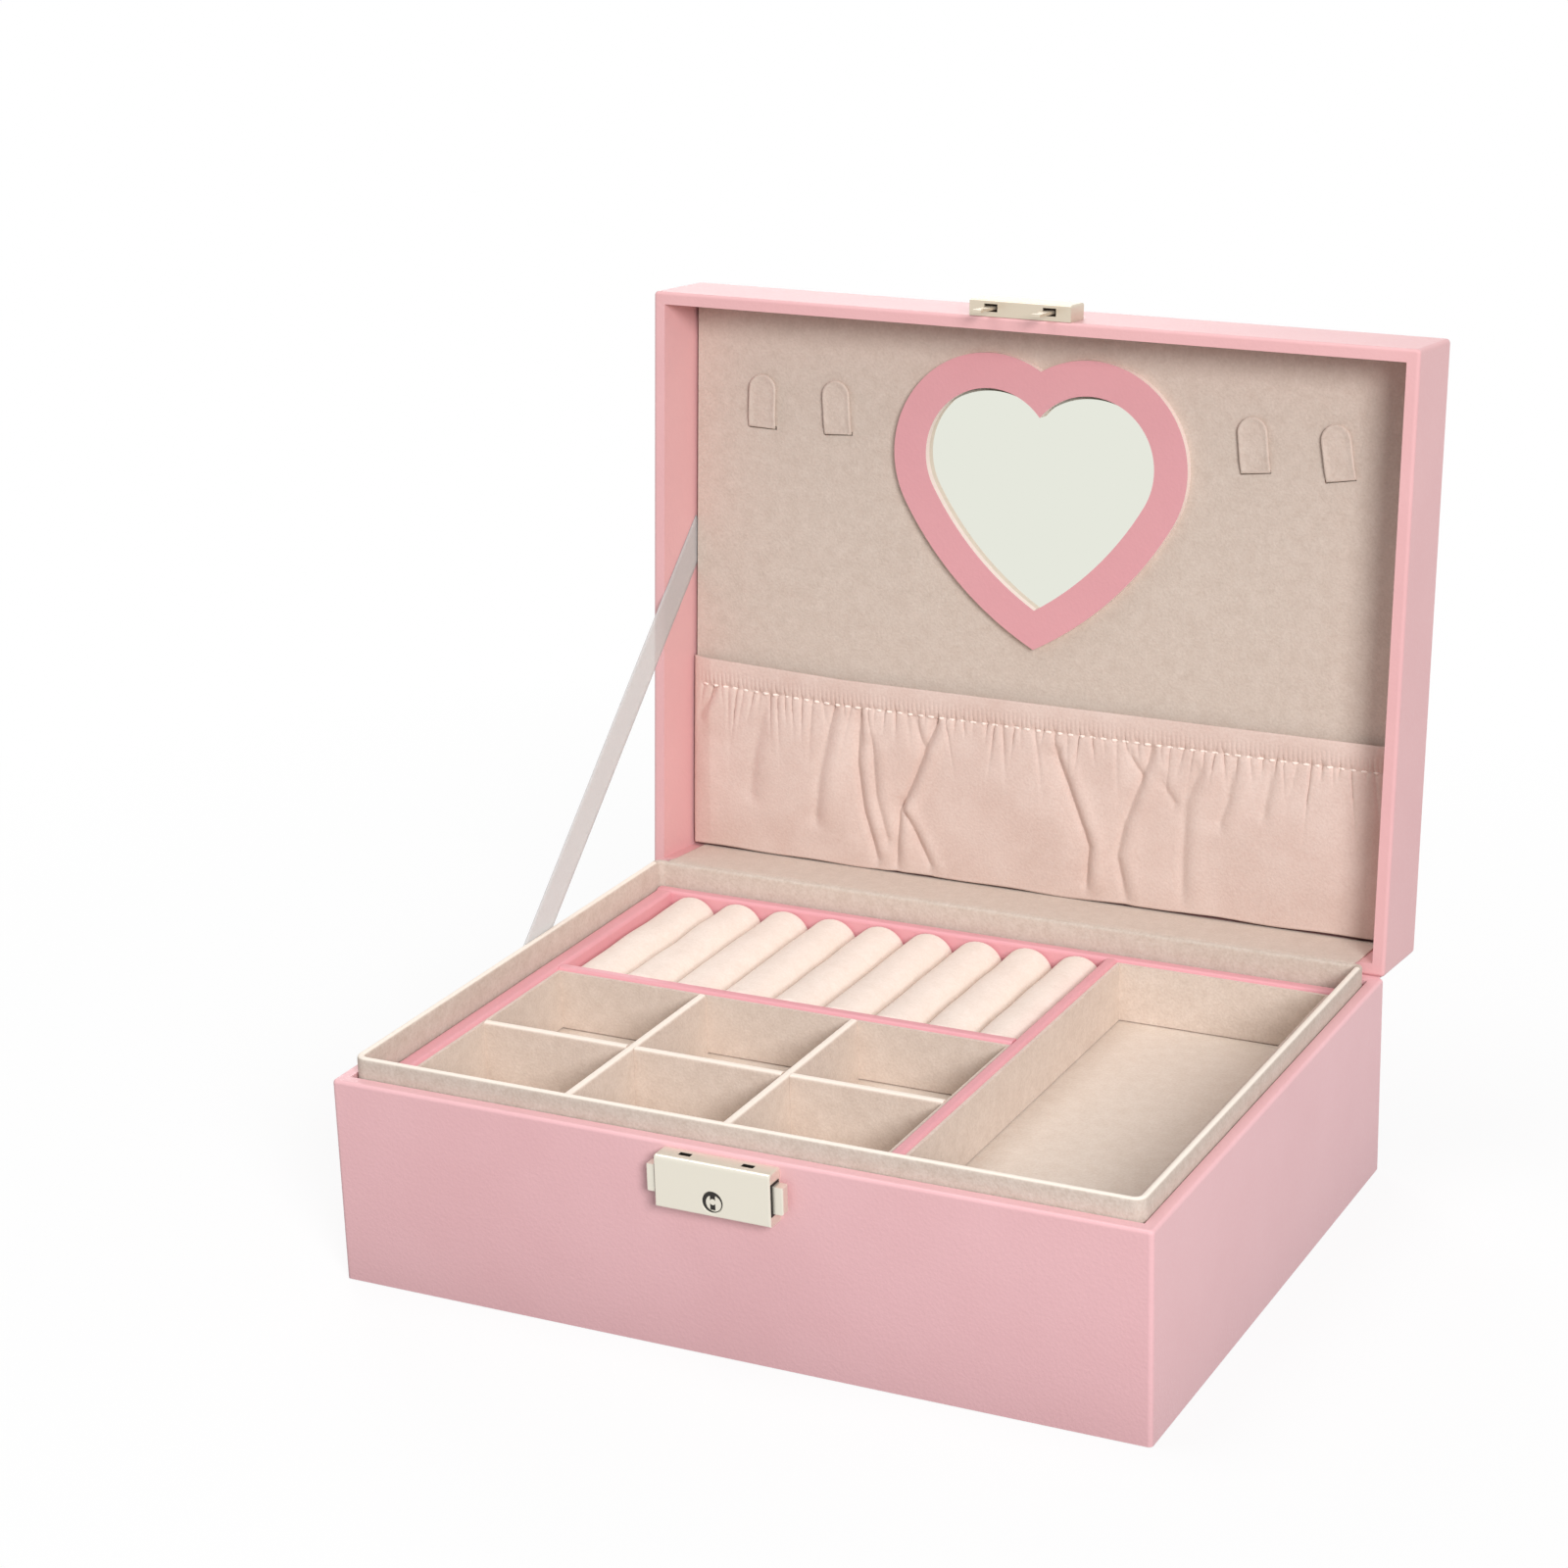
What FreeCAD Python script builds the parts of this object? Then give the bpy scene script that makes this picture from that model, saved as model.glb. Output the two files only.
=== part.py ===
import FreeCAD, Part
import math
import os

V = FreeCAD.Vector

# Overall sizes of the case, in millimetres. X is the width, -Y the front, +Z up.
# The origin is the centre of the underside. The lid is stored open.
case_width = 230.0
case_depth = 173.0
base_height = 57.5
lid_height = 27.5
lid_open = 95.0

# Boards and coverings
board = 2.2
leather = 0.7
underside_sheet = 0.8
bottom_board = 2.5
floor_pad = 1.5
corner_round = 1.2
edge_round = 1.0

# Velvet rim that the lid closes over
rim_board = 2.0
rim_back_board = 2.1
rim_gap = 0.5
rim_stand = 5.6
rim_back_drop = 0.6
rim_round = 0.8
rim_corner_round = 1.8

# Lift-out tray
tray_gap = 0.7
tray_drop = 2.0
tray_wall = 5.1
tray_back_wall = 3.8
section_wall = 3.6
tray_wall_round = 1.1
tray_floor_board = 1.8
tray_floor_lining = 0.8
compartment_depth = 18.2
ledge_width = 3.0
section_lining = 1.0
lining_drop = 0.9
lining_foot_gap = 0.35
ring_section_depth = 62.6
ring_section_width = 139.6
divider = 2.4
divider_drop = 0.5
divider_round = 0.9
front_row_depth = 42.6
columns = 3
lap_gap = 0.05
roll_count = 9
roll_side_gap = 0.15
roll_end_gap = 0.6
roll_end_round = 1.8
roll_height = 17.7
roll_foot = 0.9

# Inside of the lid
lid_depth = 18.9
lining_board = 1.8
lining_side_gap = 0.9
lining_front_gap = 1.2
lining_back_gap = 1.0

# Heart frame and mirror
heart_up = 44.4
heart_lobe_radius = 29.8
heart_lobe_offset = 15.3
heart_tip_drop = 54.2
heart_turn = 30.0
heart_band = 10.0
heart_frame_thick = 2.4
mirror_lap = 3.2
mirror_room = 3.8
mirror_drop = 4.2
mirror_thick = 1.2

# Necklace hook tabs
tab_width = 8.8
tab_length = 16.0
tab_thick = 0.9
tab_gap = 0.5
tab_root = 46.4
tab_edge = 21.6
tab_spacing = 24.7
# How far each tab leans, in degrees, from left to right
tab_leans = (-1.0, 4.0, 7.0, 10.0)
tab_slit_gap = 0.1

# Gathered pocket
pocket_top = 25.5
pocket_hem = 7.5
pocket_cloth = 0.8
pocket_stand = 1.2
pocket_seam = 2.0
pocket_crown_hem = 0.5
pocket_crown_mid = 1.6
pocket_crown_foot = 1.0
# Places of the main creases at the hem, half way down and at the foot
pocket_creases = (
    (-55.0, -54.6, -48.7), (-30.2, -38.0, -42.3), (6.5, 15.5, 18.5), (37.7, 31.0, 30.8), (62.8, 60.0, 59.0),
)

# Leather hinge, hinge lining and ribbon stay
hinge_leg = 12.0
hinge_leather = 0.6
hinge_fold_radius = 0.35
hinge_lining = 0.4
hinge_lining_tuck = 14.0
hinge_seat = 0.05
ribbon_width = 10.5
ribbon_thick = 0.3
ribbon_base_y = 13.3
ribbon_lid_y = -11.0
ribbon_tuck = 14.0
ribbon_lid_tuck = 2.0

# Lock on the base and strike on the lid
lock_width = 32.6
lock_height = 14.2
lock_depth = 5.6
lock_drop = 1.2
lock_sheet = 0.8
lock_round = 0.6
lock_top_round = 1.0
slot_length = 3.4
slot_width = 1.7
prong_spacing = 17.6
prong_width = 2.6
prong_thick = 0.8
prong_reach = 9.6
prong_notch = 0.9
notch_height = 1.7
notch_up = 1.7
button_height = 7.4
button_depth = 3.0
button_proud = 2.9
button_travel = 1.6
button_gap = 0.12
button_flange = 0.4
button_round = 0.5
bolt_thick = 1.0
bolt_bar = 2.6
barrel_radius = 2.6
barrel_gap = 0.05
barrel_drop = 3.1
barrel_recess = 0.35
barrel_flange = 0.35
hole_chamfer = 0.4
keyway_width = 1.5
keyway_height = 4.4
key_pin_radius = 0.8
strike_width = 30.5
strike_height = 9.2
strike_depth = 4.6
strike_lift = 0.3
strike_slot_gap = 0.7

# Sizes that follow from the ones above
wall = board + 2 * leather
half_w = case_width / 2
half_d = case_depth / 2
inner_w = half_w - wall
inner_d = half_d - wall
floor_z = underside_sheet + bottom_board
rim_top = base_height + rim_stand
back_rim_top = rim_top - rim_back_drop
rim_out_x = inner_w - rim_gap
rim_out_y = inner_d - rim_gap
rim_in_x = rim_out_x - rim_board
rim_in_front = rim_out_y - rim_board
rim_in_back = rim_out_y - rim_back_board
tray_x = rim_in_x - tray_gap
tray_front = -rim_in_front + tray_gap
tray_back = rim_in_back - tray_gap
tray_top = base_height - tray_drop
tray_floor = tray_top - compartment_depth
tray_bottom = tray_floor - tray_floor_lining - tray_floor_board
lid_top = base_height + lid_height
lining_z = base_height + lid_depth
pad_z = lining_z + lining_board
lid_board_z = lid_top - leather - board


def save(name, shape):
    os.makedirs("parts", exist_ok=True)
    shape.exportStep("parts/" + name + ".step")


def box(x0, x1, y0, y1, z0, z1):
    return Part.makeBox(x1 - x0, y1 - y0, z1 - z0, V(x0, y0, z0))


def block(half_x, half_y, z0, z1):
    return box(-half_x, half_x, -half_y, half_y, z0, z1)


def is_along(edge, axis):
    d = edge.Vertexes[-1].Point - edge.Vertexes[0].Point
    return abs(getattr(d, axis)) > 0.999 * d.Length > 0


def round_edges(shape, radius, wanted):
    """Fillets the straight edges whose mid point and edge satisfy wanted."""
    edges = [e for e in shape.Edges if len(e.Vertexes) == 2 and wanted(e, e.valueAt(
        (e.FirstParameter + e.LastParameter) / 2))]
    return shape.makeFillet(radius, edges) if edges else shape


def prism(points, direction):
    wire = Part.makePolygon(points + points[:1])
    return Part.Face(wire).extrude(direction)


def open_lid(shape):
    """Turns a piece of the closed lid about the hinge line to where the lid is stored."""
    turned = shape.copy()
    turned.rotate(V(0, half_d, base_height), V(1, 0, 0), -lid_open)
    return turned


def lid_point(x, dy, dz):
    """A point given from the hinge line of the closed lid, in the opened lid."""
    a = math.radians(lid_open)
    return V(x, half_d + dy * math.cos(a) + dz * math.sin(a),
             base_height - dy * math.sin(a) + dz * math.cos(a))


# Base: four wall boards, a bottom board, the leather that wraps the walls and the underside sheet
wall_top = base_height - leather
out_w, out_d = half_w - leather, half_d - leather
save("underside_sheet", block(out_w, out_d, 0, underside_sheet))
save("base_bottom_board", block(inner_w, inner_d, underside_sheet, floor_z))
for side, name in ((-1, "front"), (1, "back")):
    y = sorted((side * out_d, side * (out_d - board)))
    save("base_%s_board" % name, box(-out_w, out_w, y[0], y[1], underside_sheet, wall_top))
for side, name in ((-1, "left"), (1, "right")):
    x = sorted((side * out_w, side * (out_w - board)))
    save("base_%s_board" % name, box(x[0], x[1], -out_d + board, out_d - board, underside_sheet, wall_top))

wrap = block(half_w, half_d, 0, base_height)
wrap = round_edges(wrap, corner_round, lambda e, m: is_along(e, "z"))
wrap = wrap.makeFillet(edge_round, [e for e in wrap.Edges if e.BoundBox.ZMin > base_height - 0.01])
board_room = block(out_w, out_d, -1, wall_top).cut(
    block(out_w - board, out_d - board, underside_sheet, base_height))
wrap = wrap.cut(board_room).cut(block(inner_w, inner_d, -1, base_height + 1))
save("base_leather_wrap", wrap)
save("base_floor_pad", box(-rim_in_x, rim_in_x, -rim_in_front, rim_in_back, floor_z, floor_z + floor_pad))


# Velvet rim: four boards that stand on the bottom board inside the leather walls
def rim(shape, corner):
    if corner:
        shape = round_edges(shape, rim_corner_round, lambda e, m: is_along(e, "z") and m.y < -rim_out_y + 0.01)
    long_axis = "x" if shape.BoundBox.XLength > shape.BoundBox.YLength else "y"
    top = shape.BoundBox.ZMax
    return round_edges(shape, min(rim_round, 0.45 * min(shape.BoundBox.XLength, shape.BoundBox.YLength)),
                       lambda e, m: m.z > top - 0.01 and is_along(e, long_axis))


save("liner_rim_front", rim(box(-rim_out_x, rim_out_x, -rim_out_y, -rim_in_front, floor_z, rim_top), True))
save("liner_rim_back", rim(box(-rim_in_x, rim_in_x, rim_in_back, rim_out_y, floor_z, back_rim_top), False))
save("liner_rim_left", rim(box(-rim_out_x, -rim_in_x, -rim_in_front, rim_out_y, floor_z, rim_top), False))
save("liner_rim_right", rim(box(rim_in_x, rim_out_x, -rim_in_front, rim_out_y, floor_z, rim_top), False))

# Ledges on the two sides that carry the tray
ledge_z = floor_z + floor_pad
for side, name in ((-1, "left"), (1, "right")):
    x = sorted((side * rim_in_x, side * (rim_in_x - ledge_width)))
    save("tray_ledge_" + name, box(x[0], x[1], -rim_in_front, rim_in_back, ledge_z, tray_bottom))

# Tray: floor, outer walls, and the two leather walls that part its three sections
walls_z = tray_bottom + tray_floor_board
save("tray_floor_board", box(-tray_x, tray_x, tray_front, tray_back, tray_bottom, walls_z))
in_x, in_front, in_back = tray_x - tray_wall, tray_front + tray_wall, tray_back - tray_back_wall
save("tray_floor_lining", box(-in_x, in_x, in_front, in_back, walls_z, tray_floor))


def tray_board(x0, x1, y0, y1, z0):
    long_axis = "x" if x1 - x0 > y1 - y0 else "y"
    thick = min(x1 - x0, y1 - y0)
    return round_edges(box(x0, x1, y0, y1, z0, tray_top), min(tray_wall_round, 0.45 * thick),
                       lambda e, m: m.z > tray_top - 0.01 and is_along(e, long_axis))


save("tray_front_wall", tray_board(-tray_x, tray_x, tray_front, in_front, walls_z))
save("tray_back_wall", tray_board(-tray_x, tray_x, in_back, tray_back, walls_z))
save("tray_left_wall", tray_board(-tray_x, -in_x, in_front, in_back, walls_z))
save("tray_right_wall", tray_board(in_x, tray_x, in_front, in_back, walls_z))
ring_x1 = -in_x + ring_section_width
long_x0 = ring_x1 + section_wall
ring_y0 = in_back - ring_section_depth
six_y1 = ring_y0 - section_wall
save("tray_long_wall", tray_board(ring_x1, long_x0, in_front, in_back, tray_floor))
save("tray_ring_wall", tray_board(-in_x, ring_x1, six_y1, ring_y0, tray_floor))

# Velvet linings round the inside of the six small compartments and of the long one
lining_top = tray_top - lining_drop


def lining_ring(x0, x1, y0, y1):
    t = section_lining
    return box(x0, x1, y0, y1, tray_floor + lining_foot_gap, lining_top).cut(
        box(x0 + t, x1 - t, y0 + t, y1 - t, tray_floor - 1, lining_top + 1))


save("six_section_lining", lining_ring(-in_x, ring_x1, in_front, six_y1))
save("long_section_lining", lining_ring(long_x0, in_x, in_front, in_back))

# Dividers: one along the width and two along the depth, lapped half way where they cross
six_x0, six_x1 = -in_x + section_lining, ring_x1 - section_lining
six_y0, six_y2 = in_front + section_lining, six_y1 - section_lining
divider_top = tray_top - divider_drop
lap_z = (tray_floor + divider_top) / 2
cross_y = six_y0 + front_row_depth
pitch = (six_x1 - six_x0 + divider) / columns
column_xs = [six_x0 - divider / 2 + pitch * i for i in range(1, columns)]


def divider_board(x0, x1, y0, y1):
    long_axis = "x" if x1 - x0 > y1 - y0 else "y"
    return round_edges(box(x0, x1, y0, y1, tray_floor, divider_top), min(divider_round, 0.45 * divider),
                       lambda e, m: m.z > divider_top - 0.01 and is_along(e, long_axis))


half_t = divider / 2
cross = divider_board(six_x0, six_x1, cross_y - half_t, cross_y + half_t)
for i, x in enumerate(column_xs):
    column = divider_board(x - half_t, x + half_t, six_y0, six_y2)
    column = column.cut(box(x - divider, x + divider, cross_y - half_t - lap_gap, cross_y + half_t + lap_gap,
                            tray_floor - 1, lap_z))
    cross = cross.cut(box(x - half_t - lap_gap, x + half_t + lap_gap, cross_y - divider, cross_y + divider,
                          lap_z, divider_top + 1))
    save("column_divider_" + ("left", "right")[i], column)
save("cross_divider", cross)

# Ring rolls: padded velvet rolls side by side, round on top, drawn in at the foot and at both ends
roll_pitch = (ring_x1 + in_x) / roll_count
roll_radius = (roll_pitch - roll_side_gap) / 2
shoulder = tray_floor + roll_height - roll_radius


def roll_section(x, y, inset):
    """A closed wire across a roll at y, drawn in all round above the foot by inset."""
    r, foot = roll_radius - inset, roll_radius - roll_foot - inset
    waist = r - roll_foot / 4
    slant = r * math.sqrt(0.5)
    middle = (tray_floor + shoulder) / 2
    ring = [V(x - foot, y, tray_floor), V(x + foot, y, tray_floor), V(x + waist, y, middle),
            V(x + r, y, shoulder), V(x + slant, y, shoulder + slant), V(x, y, shoulder + r),
            V(x - slant, y, shoulder + slant), V(x - r, y, shoulder), V(x - waist, y, middle)]
    arcs = [Part.Arc(ring[i], ring[i + 1], ring[(i + 2) % len(ring)]).toShape() for i in (1, 3, 5, 7)]
    return Part.Wire([Part.makeLine(ring[0], ring[1])] + arcs)


for i in range(roll_count):
    x = -in_x + roll_pitch * (i + 0.5)
    front, back = ring_y0 + roll_end_gap, in_back - roll_end_gap
    sections = [roll_section(x, front, roll_end_round), roll_section(x, front + roll_end_round, 0),
                roll_section(x, back - roll_end_round, 0), roll_section(x, back, roll_end_round)]
    save("ring_roll_%d" % (i + 1), Part.makeLoft(sections, True, True))

# Lid: top board, four wall boards and the leather that wraps them inside and out
rim_z = base_height + leather
save("lid_top_board", open_lid(block(out_w, out_d, lid_board_z, lid_board_z + board)))
for side, name in ((-1, "front"), (1, "back")):
    y = sorted((side * out_d, side * (out_d - board)))
    save("lid_%s_board" % name, open_lid(box(-out_w, out_w, y[0], y[1], rim_z, lid_board_z)))
for side, name in ((-1, "left"), (1, "right")):
    x = sorted((side * out_w, side * (out_w - board)))
    save("lid_%s_board" % name, open_lid(box(x[0], x[1], -out_d + board, out_d - board, rim_z, lid_board_z)))
wrap = block(half_w, half_d, base_height, lid_top)
wrap = round_edges(wrap, corner_round, lambda e, m: is_along(e, "z"))
wrap = wrap.makeFillet(edge_round, [e for e in wrap.Edges if not is_along(e, "z")
                                    and e.BoundBox.ZLength < 0.01])
board_room = block(out_w, out_d, rim_z, lid_board_z + board).cut(
    block(out_w - board, out_d - board, base_height, lid_board_z))
wrap = wrap.cut(board_room).cut(block(inner_w, inner_d, base_height - 1, lid_board_z))
save("lid_leather_wrap", open_lid(wrap))

# Lining of the lid: a foam pad, and the velvet board in front of it with the mirror's window
panel_x = inner_w - lining_side_gap
panel_y0, panel_y1 = -inner_d + lining_front_gap, inner_d - lining_back_gap
save("lid_padding", open_lid(box(-panel_x, panel_x, panel_y0, panel_y1, pad_z, lid_board_z)))


def heart(inset, z, thick, drop=0):
    """Four arcs, drawn in from the frame's outline by inset and let down by drop. Up the lid is -Y."""
    a = math.radians(heart_turn)
    c, h, r = heart_lobe_offset, heart_tip_drop, heart_lobe_radius
    wn = -c * math.cos(a) + h * math.sin(a)
    big = (c * c + h * h - 2 * r * wn + r * r) / (2 * r - 2 * wn)
    side_c = (c + (r - big) * math.cos(a), -(r - big) * math.sin(a))
    r, big = r - inset, big - inset

    def at(centre, radius, angle, mirror):
        u = centre[0] + radius * math.cos(angle)
        return V(mirror * u, drop - (heart_up + centre[1] + radius * math.sin(angle)), z)

    edges = []
    for m in (1, -1):
        top = math.acos(-c / r)
        tip = -math.acos(-side_c[0] / big)
        for centre, radius, a0, a1 in (((c, 0), r, top, -a), (side_c, big, -a, tip)):
            edges.append(Part.Arc(at(centre, radius, a0, m), at(centre, radius, (a0 + a1) / 2, m),
                                  at(centre, radius, a1, m)).toShape())
    return Part.Face(Part.Wire(Part.__sortEdges__(edges))).extrude(V(0, 0, thick))


panel = box(-panel_x, panel_x, panel_y0, panel_y1, lining_z, pad_z)
mirror_inset = heart_band - mirror_lap
panel = panel.cut(heart(mirror_inset - mirror_room, lining_z - 1, lining_board + 2))
frame = heart(0, lining_z - heart_frame_thick, heart_frame_thick)
frame = frame.cut(heart(heart_band, lining_z - heart_frame_thick - 1, heart_frame_thick + 2))
save("heart_frame", open_lid(frame))
save("heart_mirror", open_lid(heart(mirror_inset, lining_z, mirror_thick, mirror_drop)))

# Hook tabs: tongues with an arched free end, bent out of slits in the velvet board
tab_x = panel_x - tab_edge
tab_xs = (-tab_x, -tab_x + tab_spacing, tab_x - tab_spacing, tab_x)
for i, (x, lean) in enumerate(zip(tab_xs, tab_leans)):
    r = tab_width / 2
    z = lining_z - tab_gap - tab_thick
    y_arch = -tab_root - tab_length + r
    tongue = Part.Face(Part.Wire([
        Part.makeLine(V(x - r, -tab_root, z), V(x - r, y_arch, z)),
        Part.Arc(V(x - r, y_arch, z), V(x, y_arch - r, z), V(x + r, y_arch, z)).toShape(),
        Part.makeLine(V(x + r, y_arch, z), V(x + r, -tab_root, z)),
        Part.makeLine(V(x + r, -tab_root, z), V(x - r, -tab_root, z))])).extrude(V(0, 0, tab_thick))
    foot = box(x - r, x + r, -tab_root - tab_thick, -tab_root, z, pad_z)
    g = tab_slit_gap
    slit = box(x - r - g, x + r + g, -tab_root - tab_thick - g, -tab_root + g, lining_z - 1, pad_z + 1)
    tab = tongue.fuse(foot).removeSplitter()
    for shape in (tab, slit):
        shape.rotate(V(x, -tab_root, 0), V(0, 0, 1), -lean)
    save("hook_tab_%d" % (i + 1), open_lid(tab))
    panel = panel.cut(slit)
save("lid_lining_board", open_lid(panel))

# Pocket: a gathered sheet sewn down at its sides and foot, open along the elastic hem at its top
pocket_x = panel_x
hem_y = pocket_top + pocket_hem
foot_y = panel_y1
pocket_back = lining_z - pocket_stand


def pocket_section(y, creases, crown):
    """A closed wire across the sheet at y: flat seams at the ends and arcs between the creases."""
    edge = pocket_x - pocket_seam
    xs = [-edge] + list(creases) + [edge]
    edges = []
    for z in (pocket_back - pocket_cloth, pocket_back):
        points = [V(-pocket_x, y, z)] + [V(x, y, z) for x in xs] + [V(pocket_x, y, z)]
        for p, q in zip(points, points[1:]):
            middle = (p + q) / 2 - V(0, 0, crown)
            seam = abs(p.x) == pocket_x or abs(q.x) == pocket_x
            edges.append(Part.makeLine(p, q) if seam else Part.Arc(p, middle, q).toShape())
    for x in (-pocket_x, pocket_x):
        edges.append(Part.makeLine(V(x, y, pocket_back - pocket_cloth), V(x, y, pocket_back)))
    return Part.Wire(Part.__sortEdges__(edges))


at_hem, at_middle, at_foot = zip(*pocket_creases)
sheet = Part.makeLoft([pocket_section(pocket_top, at_hem, pocket_crown_hem),
                       pocket_section((hem_y + foot_y) / 2, at_middle, pocket_crown_mid),
                       pocket_section(foot_y - pocket_seam, at_foot, pocket_crown_foot)], True, True)
side = foot_y - pocket_seam
seams = [box(-pocket_x, -pocket_x + pocket_seam, pocket_top, side, pocket_back, lining_z),
         box(pocket_x - pocket_seam, pocket_x, pocket_top, side, pocket_back, lining_z),
         box(-pocket_x, pocket_x, side, foot_y, pocket_back - pocket_cloth / 2, lining_z)]
save("pocket", open_lid(sheet.fuse(seams)))

# Hinge: the leather folds along the hinge line, and a velvet strip bridges the joint inside
t = hinge_leather
s = hinge_seat
start = edge_round
x0, x1 = -half_w + corner_round, half_w - corner_round
along = V(x1 - x0, 0, 0)
leather_section = [
    V(x0, half_d + s, base_height - hinge_leg), V(x0, half_d + s + t, base_height - hinge_leg),
    V(x0, half_d + s + t, base_height - start), lid_point(x0, s + t, start), lid_point(x0, s + t, hinge_leg),
    lid_point(x0, s, hinge_leg), lid_point(x0, s, start), V(x0, half_d + s, base_height - start)]
fold = Part.makeCylinder(hinge_fold_radius, x1 - x0, V(x0, half_d, base_height), V(1, 0, 0))
bridge = prism([V(x0, half_d, base_height), V(x0, half_d + s, base_height - start),
                V(x0, half_d + s + t, base_height - start), lid_point(x0, s + t, start),
                lid_point(x0, s, start)], along)
save("hinge_leather", prism(leather_section, along).fuse([bridge, fold]).removeSplitter())

t = hinge_lining
behind = rim_out_y + s
lid_x = inner_w - s
lid_end = lid_depth - s
velvet = prism([lid_point(-lid_x, -wall - s - t, t), lid_point(-lid_x, -wall - s - t, lid_end),
                lid_point(-lid_x, -wall - s, lid_end), lid_point(-lid_x, -wall - s, t)], V(2 * lid_x, 0, 0))
tuck_z = back_rim_top - hinge_lining_tuck
tuck = prism([V(-rim_in_x, behind, tuck_z), V(-rim_in_x, behind, back_rim_top - rim_round),
              lid_point(-rim_in_x, -wall - s - t, t), lid_point(-rim_in_x, -wall - s, t),
              V(-rim_in_x, behind + t, back_rim_top - rim_round - t), V(-rim_in_x, behind + t, tuck_z)],
             V(2 * rim_in_x, 0, 0))
save("hinge_lining", velvet.fuse(tuck).removeSplitter())

# Ribbon stay: pulled tight from between the left wall and the rim to the gap beside the lid's lining
low = V(0, ribbon_base_y, rim_top)
high = lid_point(0, ribbon_lid_y - half_d, lid_depth)
way = (high - low).normalize()
across = V(0, -way.z, way.y) * (ribbon_width / 2)
low, high = low - way * ribbon_tuck, high + way * ribbon_lid_tuck
ribbon_x = -(inner_w + rim_out_x) / 2 - ribbon_thick / 2
corners = [p + V(ribbon_x, 0, 0) for p in (low - across, high - across, high + across, low + across)]
save("ribbon_stay", prism(corners, V(ribbon_thick, 0, 0)))

# Lock: a pressed case on the front wall with prong slots above, button windows and a key barrel
lock_top = base_height - lock_drop
lock_z0 = lock_top - lock_height
lock_y = -half_d - lock_depth
lock_x = lock_width / 2
case = box(-lock_x, lock_x, lock_y, -half_d, lock_z0, lock_top)
case = round_edges(case, lock_top_round, lambda e, m: m.y < lock_y + 0.01 and m.z > lock_top - 0.01)
case = round_edges(case, lock_round, lambda e, m: is_along(e, "z") and m.y < lock_y + 0.01 or (
    is_along(e, "x") and m.y < lock_y + 0.01 and m.z < lock_z0 + 0.01))
k = lock_sheet
case = case.cut(box(-lock_x + k, lock_x - k, lock_y + k, -half_d + 1, lock_z0 + k, lock_top - k))
prong_y = -half_d - lock_depth / 2 + prong_thick / 2
prong_xs = (-prong_spacing / 2, prong_spacing / 2)
for x in prong_xs:
    case = case.cut(box(x - slot_length / 2, x + slot_length / 2, prong_y - slot_width / 2,
                        prong_y + slot_width / 2, lock_top - 2 * k, lock_top + 1))
button_z = (lock_z0 + lock_top) / 2
button_y = -half_d - lock_depth / 2
bh, bd, g = button_height / 2, button_depth / 2, button_gap
window = box(-lock_x - 1, lock_x + 1, button_y - bd - g, button_y + bd + g,
             button_z - bh - g, button_z + bh + g)
case = case.cut(window)
barrel_z = button_z - barrel_drop
hole = Part.makeCylinder(barrel_radius + barrel_gap, 2 * k, V(0, lock_y - k / 2, barrel_z), V(0, 1, 0))
countersink = Part.makeCone(barrel_radius + barrel_gap + hole_chamfer, barrel_radius + barrel_gap, hole_chamfer,
                            V(0, lock_y, barrel_z), V(0, 1, 0))
save("lock_case", case.cut(hole).cut(countersink))

# Buttons: each is one pressed piece with a flange behind the window and a bolt that hooks a prong
tip_z = base_height + strike_lift - prong_reach
notch_z = tip_z + notch_up
bolt_z = notch_z + (notch_height - bolt_thick) / 2
for side, name in ((-1, "left"), (1, "right")):
    prong_in = prong_xs[0] + prong_width / 2
    bar0 = prong_in - prong_notch + g
    stem_end = prong_xs[0] - prong_width / 2 - 2 * g - button_travel
    pad = box(-lock_x - button_proud, -lock_x + k, button_y - bd, button_y + bd, button_z - bh, button_z + bh)
    pad = round_edges(pad, button_round, lambda e, m: m.x < -lock_x - button_proud + 0.01)
    f = button_flange
    flange = box(-lock_x + k, -lock_x + 2 * k, button_y - bd - f, button_y + bd + f,
                 button_z - bh - f, button_z + bh + f)
    bolt = box(-lock_x + k, bar0 + bolt_bar, button_y - bd, button_y + bd, bolt_z, bolt_z + bolt_thick)
    gate = box(stem_end, bar0, prong_y - slot_width / 2, prong_y + slot_width / 2,
               bolt_z - 1, bolt_z + bolt_thick + 1)
    button = pad.fuse([flange, bolt.cut(gate)]).removeSplitter()
    if side > 0:
        button = button.mirror(V(0, 0, 0), V(1, 0, 0))
    save("lock_button_" + name, button)

barrel_y = lock_y + barrel_recess
barrel = Part.makeCylinder(barrel_radius, -half_d - g - barrel_y, V(0, barrel_y, barrel_z), V(0, 1, 0))
collar = Part.makeCylinder(barrel_radius + barrel_flange, k, V(0, lock_y + k + g, barrel_z), V(0, 1, 0))
pin = Part.makeCylinder(key_pin_radius, lock_depth, V(0, barrel_y, barrel_z), V(0, 1, 0))
keyway = box(-keyway_width / 2, keyway_width / 2, lock_y, lock_y + lock_depth / 2,
             barrel_z - keyway_height / 2, barrel_z + keyway_height / 2)
save("key_barrel", barrel.fuse(collar).cut(keyway.cut(pin)).removeSplitter())

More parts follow.
